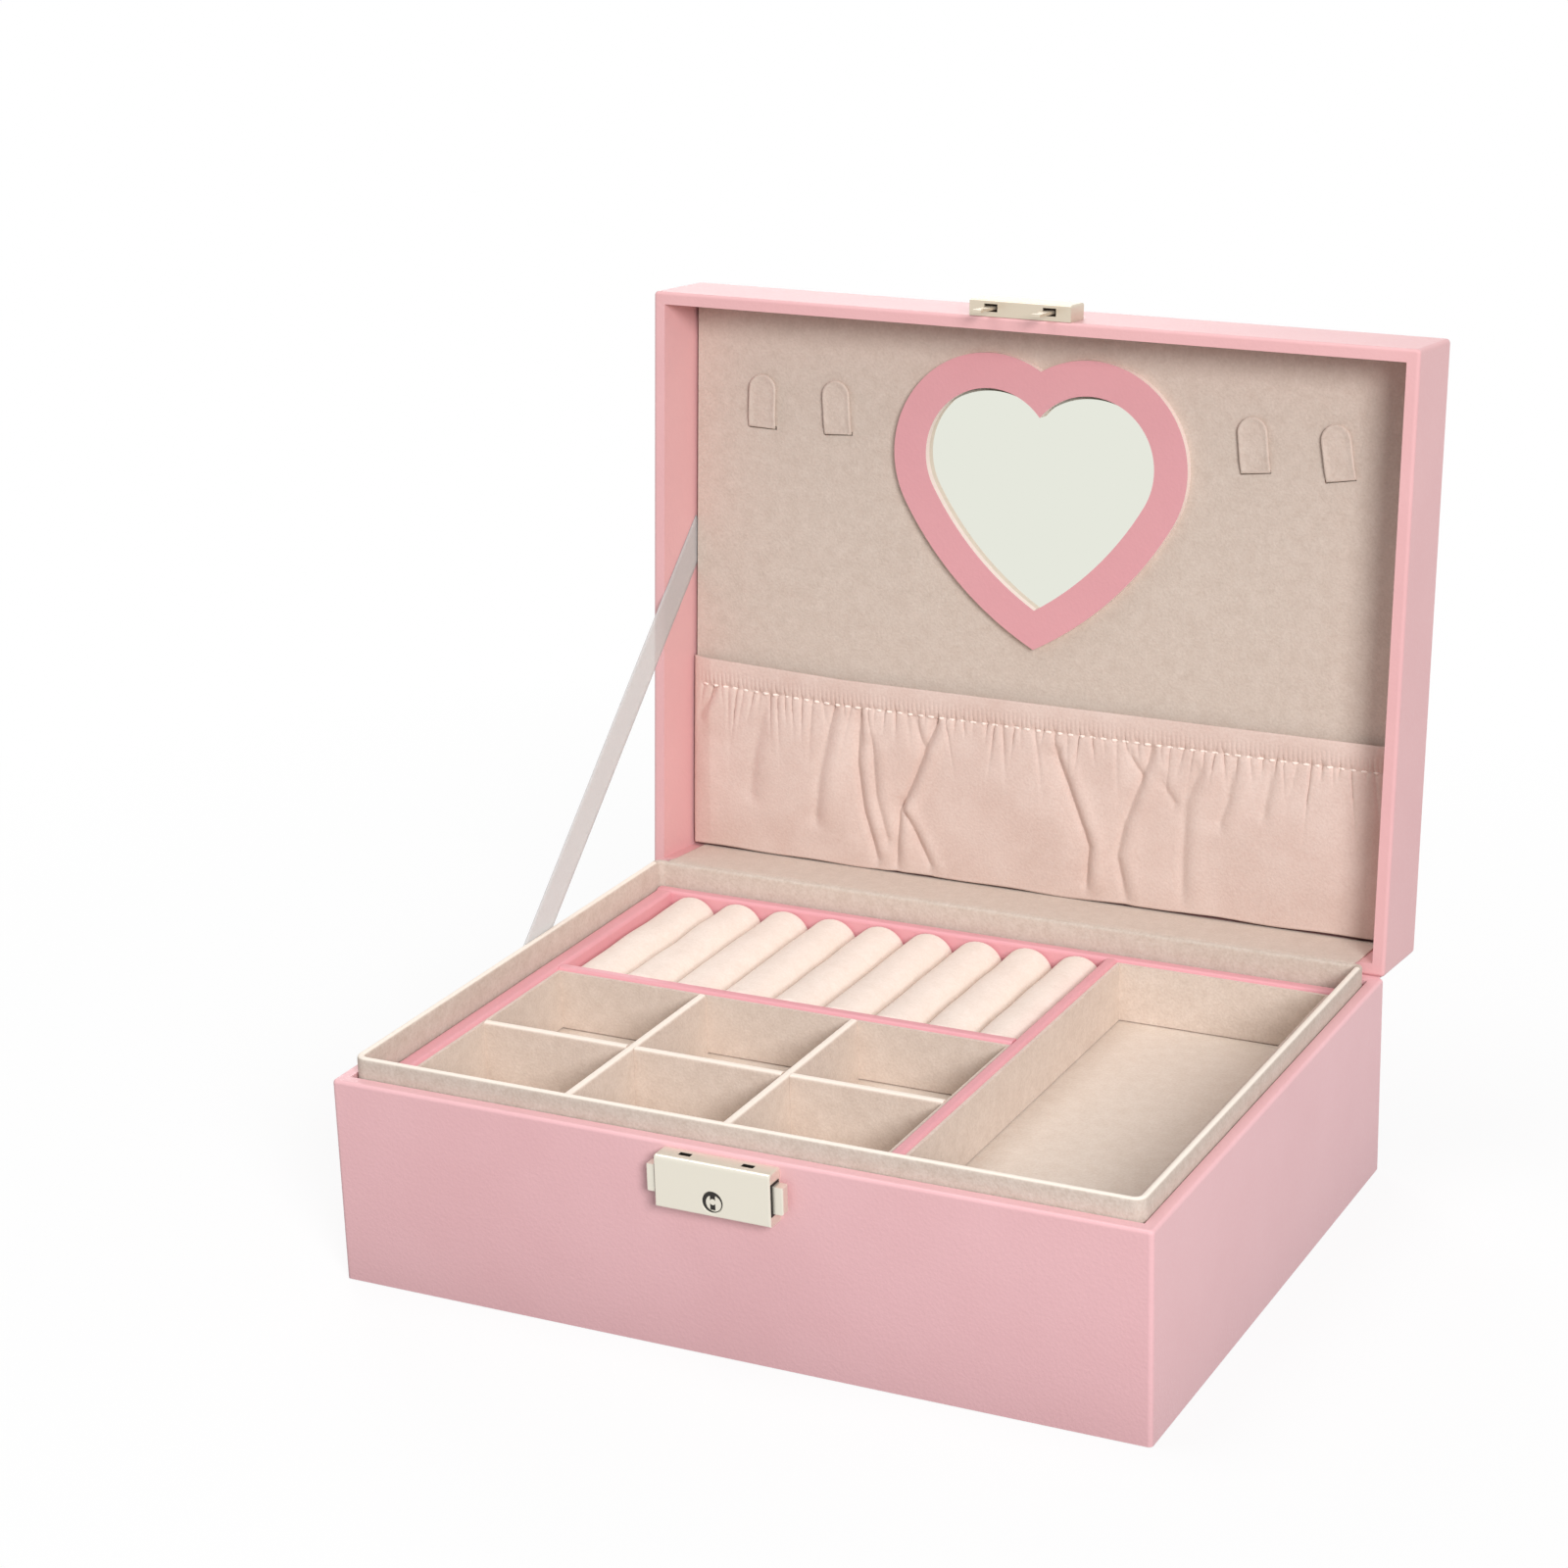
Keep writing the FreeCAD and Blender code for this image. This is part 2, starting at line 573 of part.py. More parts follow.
# Strike on the lid: a pressed channel with two prongs, each through a slot, whose notches the bolts catch
z0 = base_height + strike_lift
sx = strike_width / 2
sy = -half_d - strike_depth
strike = box(-sx, sx, sy, -half_d, z0, z0 + strike_height)
strike = round_edges(strike, lock_round, lambda e, m: m.y < sy + 0.01)
strike = strike.cut(box(-sx + k, sx - k, sy + k, -half_d + 1, z0 + k, z0 + strike_height - k))
for side, x in zip((-1, 1), prong_xs):
    w, p = prong_width / 2, prong_thick / 2
    prong = box(x - w, x + w, prong_y - p, prong_y + p, tip_z, z0 + strike_height - k / 2)
    q = strike_slot_gap
    strike = strike.cut(box(x - w - q, x + w + q, prong_y - p - q, prong_y + p + q, z0 - 1, z0 + 1.5 * k))
    inner = x - side * w
    notch = sorted((inner, inner + side * prong_notch))
    prong = prong.cut(box(notch[0], notch[1], prong_y - p - 1, prong_y + p + 1,
                          notch_z, notch_z + notch_height))
    strike = strike.fuse(prong)
save("strike", open_lid(strike.removeSplitter()))
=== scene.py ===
import math
import random

import bmesh
import bpy
from mathutils import Matrix, Vector


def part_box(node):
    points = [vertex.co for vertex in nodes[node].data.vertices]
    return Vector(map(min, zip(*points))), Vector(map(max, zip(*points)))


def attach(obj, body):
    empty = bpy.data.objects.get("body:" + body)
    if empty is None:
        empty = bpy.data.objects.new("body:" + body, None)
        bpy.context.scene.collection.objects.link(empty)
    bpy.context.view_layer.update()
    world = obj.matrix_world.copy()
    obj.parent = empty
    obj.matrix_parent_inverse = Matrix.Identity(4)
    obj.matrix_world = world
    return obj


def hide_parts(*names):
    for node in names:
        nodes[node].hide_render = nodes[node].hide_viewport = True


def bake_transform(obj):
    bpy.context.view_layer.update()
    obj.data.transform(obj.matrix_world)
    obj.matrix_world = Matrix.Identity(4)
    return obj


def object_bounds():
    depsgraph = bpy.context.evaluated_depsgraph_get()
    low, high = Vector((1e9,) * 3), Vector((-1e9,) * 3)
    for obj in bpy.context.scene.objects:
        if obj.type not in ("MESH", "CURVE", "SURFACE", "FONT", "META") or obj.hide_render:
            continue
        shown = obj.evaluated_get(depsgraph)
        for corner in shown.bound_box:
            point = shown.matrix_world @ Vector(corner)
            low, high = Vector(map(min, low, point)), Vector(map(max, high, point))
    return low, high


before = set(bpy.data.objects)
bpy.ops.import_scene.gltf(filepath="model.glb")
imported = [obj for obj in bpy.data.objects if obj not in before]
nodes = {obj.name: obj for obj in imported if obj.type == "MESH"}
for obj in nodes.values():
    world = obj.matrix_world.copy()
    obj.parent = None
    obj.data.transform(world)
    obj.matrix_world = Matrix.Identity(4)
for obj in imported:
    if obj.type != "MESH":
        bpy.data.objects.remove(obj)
cad_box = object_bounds()

# Carcass boards: grey-brown binder's board, glued up as two trays, one for the base and one for the lid.
# The leather and the velvet hide all of it, with a foam pad between the lid's top and its lining.


def linear(code, alpha=1.0):
    """An sRGB hex colour as linear values."""
    parts = [int(code[i:i + 2], 16) / 255 for i in (1, 3, 5)]
    return tuple(c / 12.92 if c <= 0.04045 else ((c + 0.055) / 1.055) ** 2.4 for c in parts) + (alpha,)


def add(tree, kind, settings=None, links=None):
    """Adds a node: settings are its properties or the values of its sockets, links feed its sockets."""
    made = tree.nodes.new(kind)
    for name, value in (settings or {}).items():
        if isinstance(name, str) and hasattr(made, name):
            setattr(made, name, value)
        else:
            made.inputs[name].default_value = value
    for name, source in (links or {}).items():
        tree.links.new(source, made.inputs[name])
    return made


def start_material(name):
    material = bpy.data.materials.new(name)
    material.use_nodes = True
    tree = material.node_tree
    tree.nodes.clear()
    place = add(tree, "ShaderNodeTexCoord").outputs["Object"]
    return material, tree, place


def end_material(tree, shader):
    add(tree, "ShaderNodeOutputMaterial", links={"Surface": shader.outputs[0]})


def dress(material, *names):
    for name in names:
        nodes[name].material_slots[0].material = material


# Pressed grey board: long pale fibres show as faint flecks about 3 mm long.
binders_board, tree, place = start_material("binders_board")
flecks = add(tree, "ShaderNodeTexNoise", {"Scale": 350.0, "Detail": 3.0}, {"Vector": place})
shade = add(tree, "ShaderNodeMix", {"data_type": "RGBA", 6: linear("#A8916F"), 7: linear("#BEA885")},
            {0: flecks.outputs["Fac"]})
bump = add(tree, "ShaderNodeBump", {"Strength": 0.2, "Distance": 0.0002}, {"Height": flecks.outputs["Fac"]})
end_material(tree, add(tree, "ShaderNodeBsdfPrincipled", {"Roughness": 0.9},
                       {"Base Color": shade.outputs[2], "Normal": bump.outputs[0]}))
dress(binders_board, "base_bottom_board", "base_front_board", "base_back_board", "base_left_board",
      "base_right_board", "lid_top_board", "lid_front_board", "lid_back_board", "lid_left_board",
      "lid_right_board", "tray_floor_board")

# Foam pad in the lid: a sheet of open-cell foam, cut from a block and glued under the lid's top board.
# Its cut cells, about 0.6 mm wide, show as a fine speckle.
open_foam, tree, place = start_material("open_cell_foam")
cells = add(tree, "ShaderNodeTexVoronoi", {"Scale": 1600.0}, {"Vector": place})
shade = add(tree, "ShaderNodeMix", {"data_type": "RGBA", 6: linear("#EFE9DC"), 7: linear("#D9D1C2")},
            {0: cells.outputs["Distance"]})
end_material(tree, add(tree, "ShaderNodeBsdfPrincipled", {"Roughness": 0.95},
                       {"Base Color": shade.outputs[2]}))
dress(open_foam, "lid_padding")

# Pink synthetic leather of the case: a PU film with a fine embossed grain on cloth, glued round the
# boards of the base and the lid, over their edges and down inside.


def synthetic_leather(name, pale, deep, roughness, cut_edge=None, face=None):
    """Embossed PU film: fine pores, mottled over about 25 mm, under a thin clear coat that pales at a slant.
    Where a piece is cut out of card, faces that turn away from face show the cut edge's colour."""
    material, tree, place = start_material(name)
    mottle = add(tree, "ShaderNodeTexNoise", {"Scale": 40.0, "Detail": 4.0}, {"Vector": place})
    # The real pores are near 0.5 mm; they are drawn at 0.9 mm so that the grain shows in the render.
    pores = add(tree, "ShaderNodeTexVoronoi", {"Scale": 1100.0, "Randomness": 1.0}, {"Vector": place})
    grain = add(tree, "ShaderNodeTexNoise", {"Scale": 900.0, "Detail": 2.0}, {"Vector": place})
    both = add(tree, "ShaderNodeMath", {"operation": "MULTIPLY_ADD", 1: 0.6},
               {0: pores.outputs["Distance"], 2: grain.outputs["Fac"]})
    shade = add(tree, "ShaderNodeMix", {"data_type": "RGBA", 6: linear(pale), 7: linear(deep)},
                {0: mottle.outputs["Fac"]})
    bump = add(tree, "ShaderNodeBump", {"Strength": 0.2, "Distance": 0.00025}, {"Height": both.outputs[0]})
    shine = add(tree, "ShaderNodeMapRange", {"From Min": 0.3, "From Max": 0.9, "To Min": roughness - 0.06,
                                             "To Max": roughness + 0.08}, {"Value": both.outputs[0]})
    colour = shade.outputs[2]
    if cut_edge:
        normal = add(tree, "ShaderNodeTexCoord").outputs["Normal"]
        along = add(tree, "ShaderNodeVectorMath", {"operation": "DOT_PRODUCT", 1: face}, {0: normal})
        core = add(tree, "ShaderNodeMath", {"operation": "LESS_THAN", 1: 0.5}, {0: along.outputs["Value"]})
        colour = add(tree, "ShaderNodeMix", {"data_type": "RGBA", 7: linear(cut_edge)},
                     {0: core.outputs[0], 6: colour}).outputs[2]
    end_material(tree, add(tree, "ShaderNodeBsdfPrincipled",
                           {"IOR": 1.5, "Specular IOR Level": 0.3,
                            "Coat Weight": 0.35, "Coat Roughness": 0.32, "Coat IOR": 1.5},
                           {"Base Color": colour, "Normal": bump.outputs[0], "Roughness": shine.outputs[0]}))
    return material


case_leather = synthetic_leather("pink_pu_leather", "#F2C1C5", "#EAB6BA", 0.42)
dress(case_leather, "base_leather_wrap")
# The same leather, drawn a shade deeper: under these lamps the lid would look too pale beside the base.
lid_leather = synthetic_leather("lid_pink_pu_leather", "#ECB9BA", "#E4AEB0", 0.42)
dress(lid_leather, "lid_leather_wrap")
# The underside has a plain sheet of a duller, darker film.
underside_leather = synthetic_leather("underside_pu_leather", "#D9A3A9", "#CF999F", 0.62)
dress(underside_leather, "underside_sheet")

# Velvet rim and floor: short-pile cream velvet glued over the upright boards that guide the lid,
# over the ledges below the tray and over the pad on the base's floor.


def short_velvet(name, pale, deep, sheen, fold_and_highlight=None, highlight_stop=1.0):
    """Short pile: brushed patches about 4 mm wide, a fine speckle of fibres and a pale sheen.
    Where it faces up, a paler colour is mixed in as a painted highlight, but not behind the y given last."""
    material, tree, place = start_material(name)
    brushed = add(tree, "ShaderNodeTexNoise", {"Scale": 260.0, "Detail": 5.0, "Roughness": 0.7},
                  {"Vector": place})
    # Pile fibres are under 0.1 mm; the speckle is drawn at about 0.7 mm so that it shows.
    fibres = add(tree, "ShaderNodeTexNoise", {"Scale": 1400.0, "Detail": 2.0}, {"Vector": place})
    both = add(tree, "ShaderNodeMath", {"operation": "MULTIPLY_ADD", 1: 0.9},
               {0: fibres.outputs["Fac"], 2: brushed.outputs["Fac"]})
    blend = add(tree, "ShaderNodeMapRange", {"From Min": 0.65, "From Max": 1.25}, {"Value": both.outputs[0]})
    shade = add(tree, "ShaderNodeMix", {"data_type": "RGBA", 6: linear(deep), 7: linear(pale)},
                {0: blend.outputs[0]})
    bump = add(tree, "ShaderNodeBump", {"Strength": 0.4, "Distance": 0.0003}, {"Height": both.outputs[0]})
    colour = shade.outputs[2]
    # Painted highlight: faces that turn up take the paler colour, up to the y given last.
    if fold_and_highlight:
        normal = add(tree, "ShaderNodeTexCoord").outputs["Normal"]
        upward = add(tree, "ShaderNodeVectorMath", {"operation": "DOT_PRODUCT", 1: (0.0, 0.0, 1.0)},
                     {0: normal})
        facing_up = add(tree, "ShaderNodeMapRange", {"From Min": 0.35, "From Max": 0.85},
                     {"Value": upward.outputs["Value"]})
        depth = add(tree, "ShaderNodeSeparateXYZ", links={0: place}).outputs["Y"]
        free = add(tree, "ShaderNodeMath", {"operation": "LESS_THAN", 1: highlight_stop}, {0: depth})
        lit_top = add(tree, "ShaderNodeMath", {"operation": "MULTIPLY"},
                        {0: facing_up.outputs[0], 1: free.outputs[0]})
        colour = add(tree, "ShaderNodeMix", {"data_type": "RGBA", 7: linear(fold_and_highlight)},
                     {0: lit_top.outputs[0], 6: colour}).outputs[2]
    end_material(tree, add(tree, "ShaderNodeBsdfPrincipled",
                           {"Roughness": 0.92, "Specular IOR Level": 0.15, "Sheen Weight": sheen,
                            "Sheen Roughness": 0.45, "Sheen Tint": linear("#FFF4E8")},
                           {"Base Color": colour, "Normal": bump.outputs[0]}))
    return material


# The painted highlight on the rim's top stops at this y,
# so that the rear rim shows no pale line.
highlight_stop_y = 0.078
# The rim's up-facing crest takes #FBF0E4 as a painted highlight.
rim_velvet = short_velvet("cream_rim_velvet", "#D8CBC0", "#C7B7AA", 0.12, "#FBF0E4", highlight_stop_y)


def new_piece(name, build, material, body, smooth=True):
    """A mesh object from a bmesh, in the material, riding on a body."""
    mesh = bpy.data.meshes.new(name)
    bmesh.ops.recalc_face_normals(build, faces=build.faces)
    build.to_mesh(mesh)
    build.free()
    for face in mesh.polygons:
        face.use_smooth = smooth
    piece = bpy.data.objects.new(name, mesh)
    bpy.context.scene.collection.objects.link(piece)
    mesh.materials.append(material)
    if body:
        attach(piece, body)
    return piece


def skin(build, rings, closed_ring=True, cap=True, closed_path=False):
    """Faces between rows of vertices; a closed ring joins its end to its start, a cap fills both ends."""
    rows = [[build.verts.new(p) for p in ring] for ring in rings]
    count = len(rows[0])
    for a, b in zip(rows, rows[1:] + (rows[:1] if closed_path else [])):
        for i in range(count if closed_ring else count - 1):
            j = (i + 1) % count
            build.faces.new((a[i], a[j], b[j], b[i]))
    if cap:
        build.faces.new(rows[0])
        build.faces.new(rows[-1])
    return rows


front_low, front_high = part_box("liner_rim_front")
back_low, back_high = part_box("liner_rim_back")
left_low, left_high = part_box("liner_rim_left")
right_low, right_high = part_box("liner_rim_right")
outer = (left_low.x, right_high.x, front_low.y, back_high.y)
inner = (left_high.x, right_low.x, front_high.y, back_low.y)
rim_foot, rim_crest = front_low.z, front_high.z
back_drop = rim_crest - back_high.z
corner_steps = 8


def rim_loop(between, radius, z):
    """A rounded rectangle between the rim's outer face (0) and its inner face (1), a little lower behind."""
    x0, x1, y0, y1 = [a + (b - a) * between for a, b in zip(outer, inner)]
    dip = back_drop * (z - rim_foot) / (rim_crest - rim_foot)
    loop = []
    for cx, cy, quarter, dip_from, dip_to in (
            (x0 + radius, y0 + radius, 2, 0, 0), (x1 - radius, y0 + radius, 3, 0, 0),
            (x1 - radius, y1 - radius, 0, 0, dip), (x0 + radius, y1 - radius, 1, dip, 0)):
        for i in range(corner_steps + 1):
            t = i / corner_steps
            a = math.pi / 2 * (quarter + t)
            loop.append((cx + radius * math.cos(a), cy + radius * math.sin(a),
                         z - dip_from - (dip_to - dip_from) * t))
    return loop


outer_corner, inner_corner, crest_round = 0.0034, 0.0016, 0.001
crest_fullness = 0.7
wall_rows, crest_rows = 4, 8
wall_top = rim_crest - crest_round
wall_heights = [rim_foot + (wall_top - rim_foot) * i / wall_rows for i in range(wall_rows)]
profile = [(0.0, z) for z in wall_heights]
for i in range(crest_rows + 1):
    a = math.pi * i / crest_rows
    profile.append((0.5 - 0.5 * math.cos(a), wall_top + crest_round * math.sin(a) ** crest_fullness))
profile += [(1.0, z) for z in reversed(wall_heights)]
build = bmesh.new()
skin(build, [rim_loop(b, outer_corner + (inner_corner - outer_corner) * b, z) for b, z in profile],
     cap=False, closed_path=True)
rim = new_piece("velvet_rim", build, rim_velvet, "base")
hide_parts("liner_rim_front", "liner_rim_back", "liner_rim_left", "liner_rim_right")
floor_velvet = short_velvet("cream_floor_velvet", "#E9DCD0", "#DDCDBF", 0.2)
dress(floor_velvet, "base_floor_pad", "tray_floor_lining", "tray_ledge_left", "tray_ledge_right")

# Tray: board walls wrapped in pink PU leather, cream velvet inside the sections, and velvet dividers
# that lap where they cross.
tray_leather = synthetic_leather("tray_pu_leather", "#EBABB2", "#E39FA7", 0.5)
dress(tray_leather, "tray_front_wall", "tray_back_wall", "tray_left_wall", "tray_right_wall",
      "tray_ring_wall", "tray_long_wall")
section_velvet = short_velvet("cream_section_velvet", "#E3D4C8", "#D3C2B5", 0.2)
dress(section_velvet, "six_section_lining", "long_section_lining")
# The dividers' up-facing tops take #FBF0E4 as a painted highlight.
divider_velvet = short_velvet("cream_divider_velvet", "#E3D4C8", "#D3C2B5", 0.2, "#FBF0E4")
dress(divider_velvet, "cross_divider", "column_divider_left", "column_divider_right")

# Ring rolls: foam rods covered in cream velvet, laid side by side so that rings are held between them.
# Each is round on top, drawn in at the foot, and closed by a gathered round end.
roll_velvet = short_velvet("cream_roll_velvet", "#F8EBE1", "#EEDFD3", 0.3)
rolls = 9
along_steps, around_steps = 44, 36
end_round, lump_height = 0.0008, 0.00022
# How much of the end's rounding the width, the foot and the top take up
end_close, foot_inset, top_inset = 0.98, 0.4, 0.8
# Powers of the section's curve: the lower they are, the squarer it is. The foot is drawn in by a share.
foot_width, foot_height, top_power, foot_pull = 0.62, 0.5, 0.97, 0.07
for index in range(1, rolls + 1):
    low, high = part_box("ring_roll_%d" % index)
    draw = random.Random(index)
    half, tall = (high.x - low.x) / 2, high.z - low.z
    middle = (low.x + high.x) / 2
    length = high.y - low.y
    wobble = [draw.uniform(-1, 1) for _ in range(4)]
    rings = []
    for i in range(along_steps + 1):
        # More rows near the ends, where the velvet turns in.
        t = 0.5 - 0.5 * math.cos(math.pi * (i / along_steps))
        y = low.y + length * t
        e = min(t, 1 - t) * length
        turn = max(0.0, 1 - e / end_round)
        inset = end_round * (1 - math.sqrt(max(0.0, 1 - turn * turn))) * end_close
        lump = lump_height * (wobble[0] * math.sin(9 * t + wobble[1])
                              + wobble[2] * math.sin(17 * t + wobble[3]))
        ring = []
        for k in range(around_steps):
            a = 2 * math.pi * k / around_steps - math.pi / 2
            c, s = math.cos(a), math.sin(a)
            # Squarish below, round above
            power = foot_width if s < 0 else top_power
            w = (half - inset) * math.copysign(abs(c) ** power, c)
            rise = (tall - half - inset * foot_inset) if s < 0 else (half - inset * top_inset + lump)
            z = low.z + tall - half + rise * math.copysign(abs(s) ** (foot_height if s < 0 else top_power), s)
            w *= 1 - foot_pull * max(0.0, -s) ** 2
            ring.append((middle + w, y, max(z, low.z)))
        rings.append(ring)
    build = bmesh.new()
    skin(build, rings)
    roll = new_piece("ring_roll_velvet_%d" % index, build, roll_velvet, "tray")
    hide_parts("ring_roll_%d" % index)

# Lid lining: beige short-pile velvet over a thin board, set into the lid in front of the foam.
# It is pushed in between the lid's walls and glued round its edge.
lid_velvet = short_velvet("beige_lid_velvet", "#D8C9BD", "#CAB9AC", 0.25)
dress(lid_velvet, "lid_lining_board")

# Heart frame and mirror: a die-cut ring of pink PU leather on card, whose pale cut edges show, glued over
# a heart of silvered glass.
lid_angle = math.radians(95.0)
lid_face = (0.0, -math.sin(lid_angle), -math.cos(lid_angle))
frame_leather = synthetic_leather("heart_frame_pu_leather", "#E3A6AB", "#DB9CA2", 0.5, "#F6E6DE", lid_face)
dress(frame_leather, "heart_frame")
# Silvered float glass: a clean mirror with a faint green cast and a haze in patches about 17 mm wide.
silvered_glass, tree, place = start_material("silvered_glass")
haze = add(tree, "ShaderNodeTexNoise", {"Scale": 60.0, "Detail": 3.0}, {"Vector": place})
tarnish = add(tree, "ShaderNodeMapRange", {"To Min": 0.02, "To Max": 0.05}, {"Value": haze.outputs["Fac"]})
end_material(tree, add(tree, "ShaderNodeBsdfPrincipled", {"Base Color": linear("#E6E8DD"), "Metallic": 1.0},
                       {"Roughness": tarnish.outputs[0]}))
dress(silvered_glass, "heart_mirror")

# Hook tabs: tongues of velvet-covered card, pushed through slits in the lining and pressed nearly flat,
# so that a chain can hang behind them. They lean by different amounts, as if each was set by hand.
tab_velvet = short_velvet("beige_tab_velvet", "#DBCBBF", "#CDBBAE", 0.35)
base_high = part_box("base_leather_wrap")[1]
# The hinge line runs along the top edge of the base's back.
hinge_y, hinge_z = round(base_high.y, 5), round(base_high.z, 5)
lining_depth = 0.0189


def lid_line(dy, dz):
    """The (y, z) of a point in the open lid's section, from its distances to the hinge line when closed."""
    return (hinge_y + dy * math.cos(lid_angle) + dz * math.sin(lid_angle),
            hinge_z - dy * math.sin(lid_angle) + dz * math.cos(lid_angle))


def on_lid(x, y, lift):
    """A point of the open lid: x, y as in the closed case, lift is how far it stands off the lining."""
    return Vector((x, *lid_line(y - hinge_y, lining_depth - lift)))


tab_half, tab_root, tab_long = 0.0044, -0.0464, 0.016
tab_thick, tab_gap, tab_bend, slit_show = 0.0009, 0.0005, 0.004, 0.0003
tab_leans = (-1.0, 4.0, 7.0, 10.0)
arch_steps, side_steps = 18, 12
side_run = tab_long - tab_half - slit_show
tab_outline = [(-tab_half, -slit_show - side_run * i / side_steps) for i in range(side_steps + 1)]
arch_angles = [math.pi * i / arch_steps for i in range(1, arch_steps)]
tab_outline += [(-tab_half * math.cos(a), -tab_long + tab_half - tab_half * math.sin(a)) for a in arch_angles]
tab_outline += [(-x, y) for x, y in reversed(tab_outline[:side_steps + 1])]
# Rings of the tongue from its back to its face, as an inset and a height: the cut edge stands a little proud.
tab_rings = ((0.0016, 0.0), (0.0008, 0.03), (0.0002, 0.35), (0.0, 0.6), (0.0001, 0.85), (0.0004, 1.0),
             (0.0007, 0.98), (0.0011, 0.8), (0.0022, 0.76))
for index, lean in enumerate(tab_leans, 1):
    low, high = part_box("hook_tab_%d" % index)
    c, s = math.cos(math.radians(lean)), math.sin(math.radians(lean))
    root_x = (low.x + high.x) / 2 + s * tab_long / 2
    rings = []
    for inset, height in tab_rings:
        ring = []
        for x, y in tab_outline:
            x *= 1 - inset / tab_half
            y = -tab_long / 2 + (y + tab_long / 2) * (1 - 2 * inset / tab_long)
            rise = min(1.0, max(0.0, -y / tab_bend))
            lift = tab_gap * rise * rise * (3 - 2 * rise) + tab_thick * height
            ring.append(on_lid(root_x + x * c + y * s, tab_root - x * s + y * c, lift))
        rings.append(ring)
    build = bmesh.new()
    skin(build, rings)
    tab = new_piece("hook_tab_velvet_%d" % index, build, tab_velvet, "lid")
    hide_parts("hook_tab_%d" % index)

# Pocket: peach cloth gathered on an elastic in its hem, sewn down at the sides and the foot.
# A row of stitches holds the elastic, and the cloth falls from it in short gathers and a few long creases.
peach_cloth, tree, place = start_material("peach_brushed_cloth")
# The threads are about 0.3 mm apart; their speckle is drawn at about 0.7 mm so that it shows.
# Brushing leaves soft patches about 11 mm wide.
weave = add(tree, "ShaderNodeTexNoise", {"Scale": 1400.0, "Detail": 2.0}, {"Vector": place})
patch = add(tree, "ShaderNodeTexNoise", {"Scale": 90.0, "Detail": 4.0}, {"Vector": place})
both = add(tree, "ShaderNodeMath", {"operation": "MULTIPLY_ADD", 1: 0.9},
           {0: weave.outputs["Fac"], 2: patch.outputs["Fac"]})
span = add(tree, "ShaderNodeMapRange", {"From Min": 0.65, "From Max": 1.25}, {"Value": both.outputs[0]})
shade = add(tree, "ShaderNodeMix", {"data_type": "RGBA", 6: linear("#D8BEB3"), 7: linear("#E3CDC3")},
            {0: span.outputs[0]})
bump = add(tree, "ShaderNodeBump", {"Strength": 0.4, "Distance": 0.0003}, {"Height": both.outputs[0]})
end_material(tree, add(tree, "ShaderNodeBsdfPrincipled",
                       {"Roughness": 0.85, "Specular IOR Level": 0.2,
                        "Sheen Weight": 0.25, "Sheen Roughness": 0.4, "Sheen Tint": linear("#FFEFE6")},
                       {"Base Color": shade.outputs[2], "Normal": bump.outputs[0]}))
# Places on the closed lid: y runs from the hem down to the foot, beside the hinge.
pocket_half, pocket_foot = 0.1104, 0.0819
hem_top, hem_band = 0.0255, 0.0078
cloth = 0.0006
rib_pitch = 0.0014
columns, rows = 620, 96
# Long creases as (x, y) points down the cloth, with their depth and half width in millimetres
creases = (
    (((-102.4, 32.8), (-108.1, 42.5)), 0.8, 1.2),
    (((-84.9, 34.3), (-89.3, 51.4), (-90.7, 64.0)), 0.55, 1.8),
    (((-63.2, 34.5), (-67.3, 55.6), (-68.7, 68.3)), 0.8, 1.5),
    (((-55.0, 35.6), (-55.2, 49.3), (-53.0, 63.5), (-48.7, 78.5)), 1.5, 1.2),
    (((-50.4, 43.9), (-48.7, 58.8), (-45.5, 72.1)), 0.9, 1.1),
    (((-30.2, 35.3), (-37.0, 53.2), (-41.6, 64.0), (-42.3, 79.3)), 1.7, 1.2),
    (((-36.7, 34.8), (-34.3, 42.6)), 0.8, 0.9),
    (((-40.6, 62.0), (-38.3, 64.6), (-31.3, 78.5)), 1.2, 1.1),
    (((8.8, 40.1), (13.4, 50.4), (18.0, 61.5), (19.3, 65.7), (18.5, 76.8)), 1.6, 1.2),
    (((37.7, 35.1), (34.0, 46.3), (30.0, 57.7), (28.1, 67.4), (30.8, 79.4)), 1.2, 1.3),
    (((31.4, 37.3), (34.6, 42.7)), 0.7, 0.9),
    (((41.4, 44.0), (45.3, 49.2)), 0.5, 1.2),
    (((52.3, 39.7), (49.0, 47.3), (48.3, 66.1), (48.4, 77.7)), 0.8, 1.5),
    (((62.8, 35.6), (61.5, 47.1), (59.5, 53.1)), 0.7, 1.2),
    (((74.1, 36.3), (72.5, 48.5)), 0.6, 1.2),
)
# Gathers along the stitches, from end to end: place, depth, half width and reach in millimetres, and slant
draw = random.Random(7)
gathers = []
gather_end = 107.0
spot = -gather_end
while spot < gather_end:
    gathers.append((spot, draw.uniform(0.3, 0.9), draw.uniform(0.4, 0.8), 3.0 + 11.0 * draw.random() ** 2,
                    draw.uniform(-0.22, 0.22)))
    spot += draw.uniform(1.9, 4.4)
# Where two creases meet, the cloth is pinched up into a small peak.
pinch, pinch_high, pinch_wide = (-40.4, 62.8), 1.0, 1.2
# How the cloth stands off the lining, in millimetres: at the hem, at the sewn sides, in the stitches' groove,
# over the elastic, in the elastic's ribs, in the belly below, down to the foot, and in its slow waves.
cloth_stand, side_stand, side_taper = 2.2, 0.5, 6.0
groove_deep, groove_wide = 0.3, 0.8
hem_bulge, rib_deep = 0.3, 0.13
belly, foot_fall, wave_high = 1.4, 1.3, 0.4
crease_fade, gather_rise = 4.0, 1.4
# The hem's rise at the left, and how the foot wavers and slopes, in metres
hem_rise, foot_waver, foot_slope = 0.0018, 0.0003, 0.006


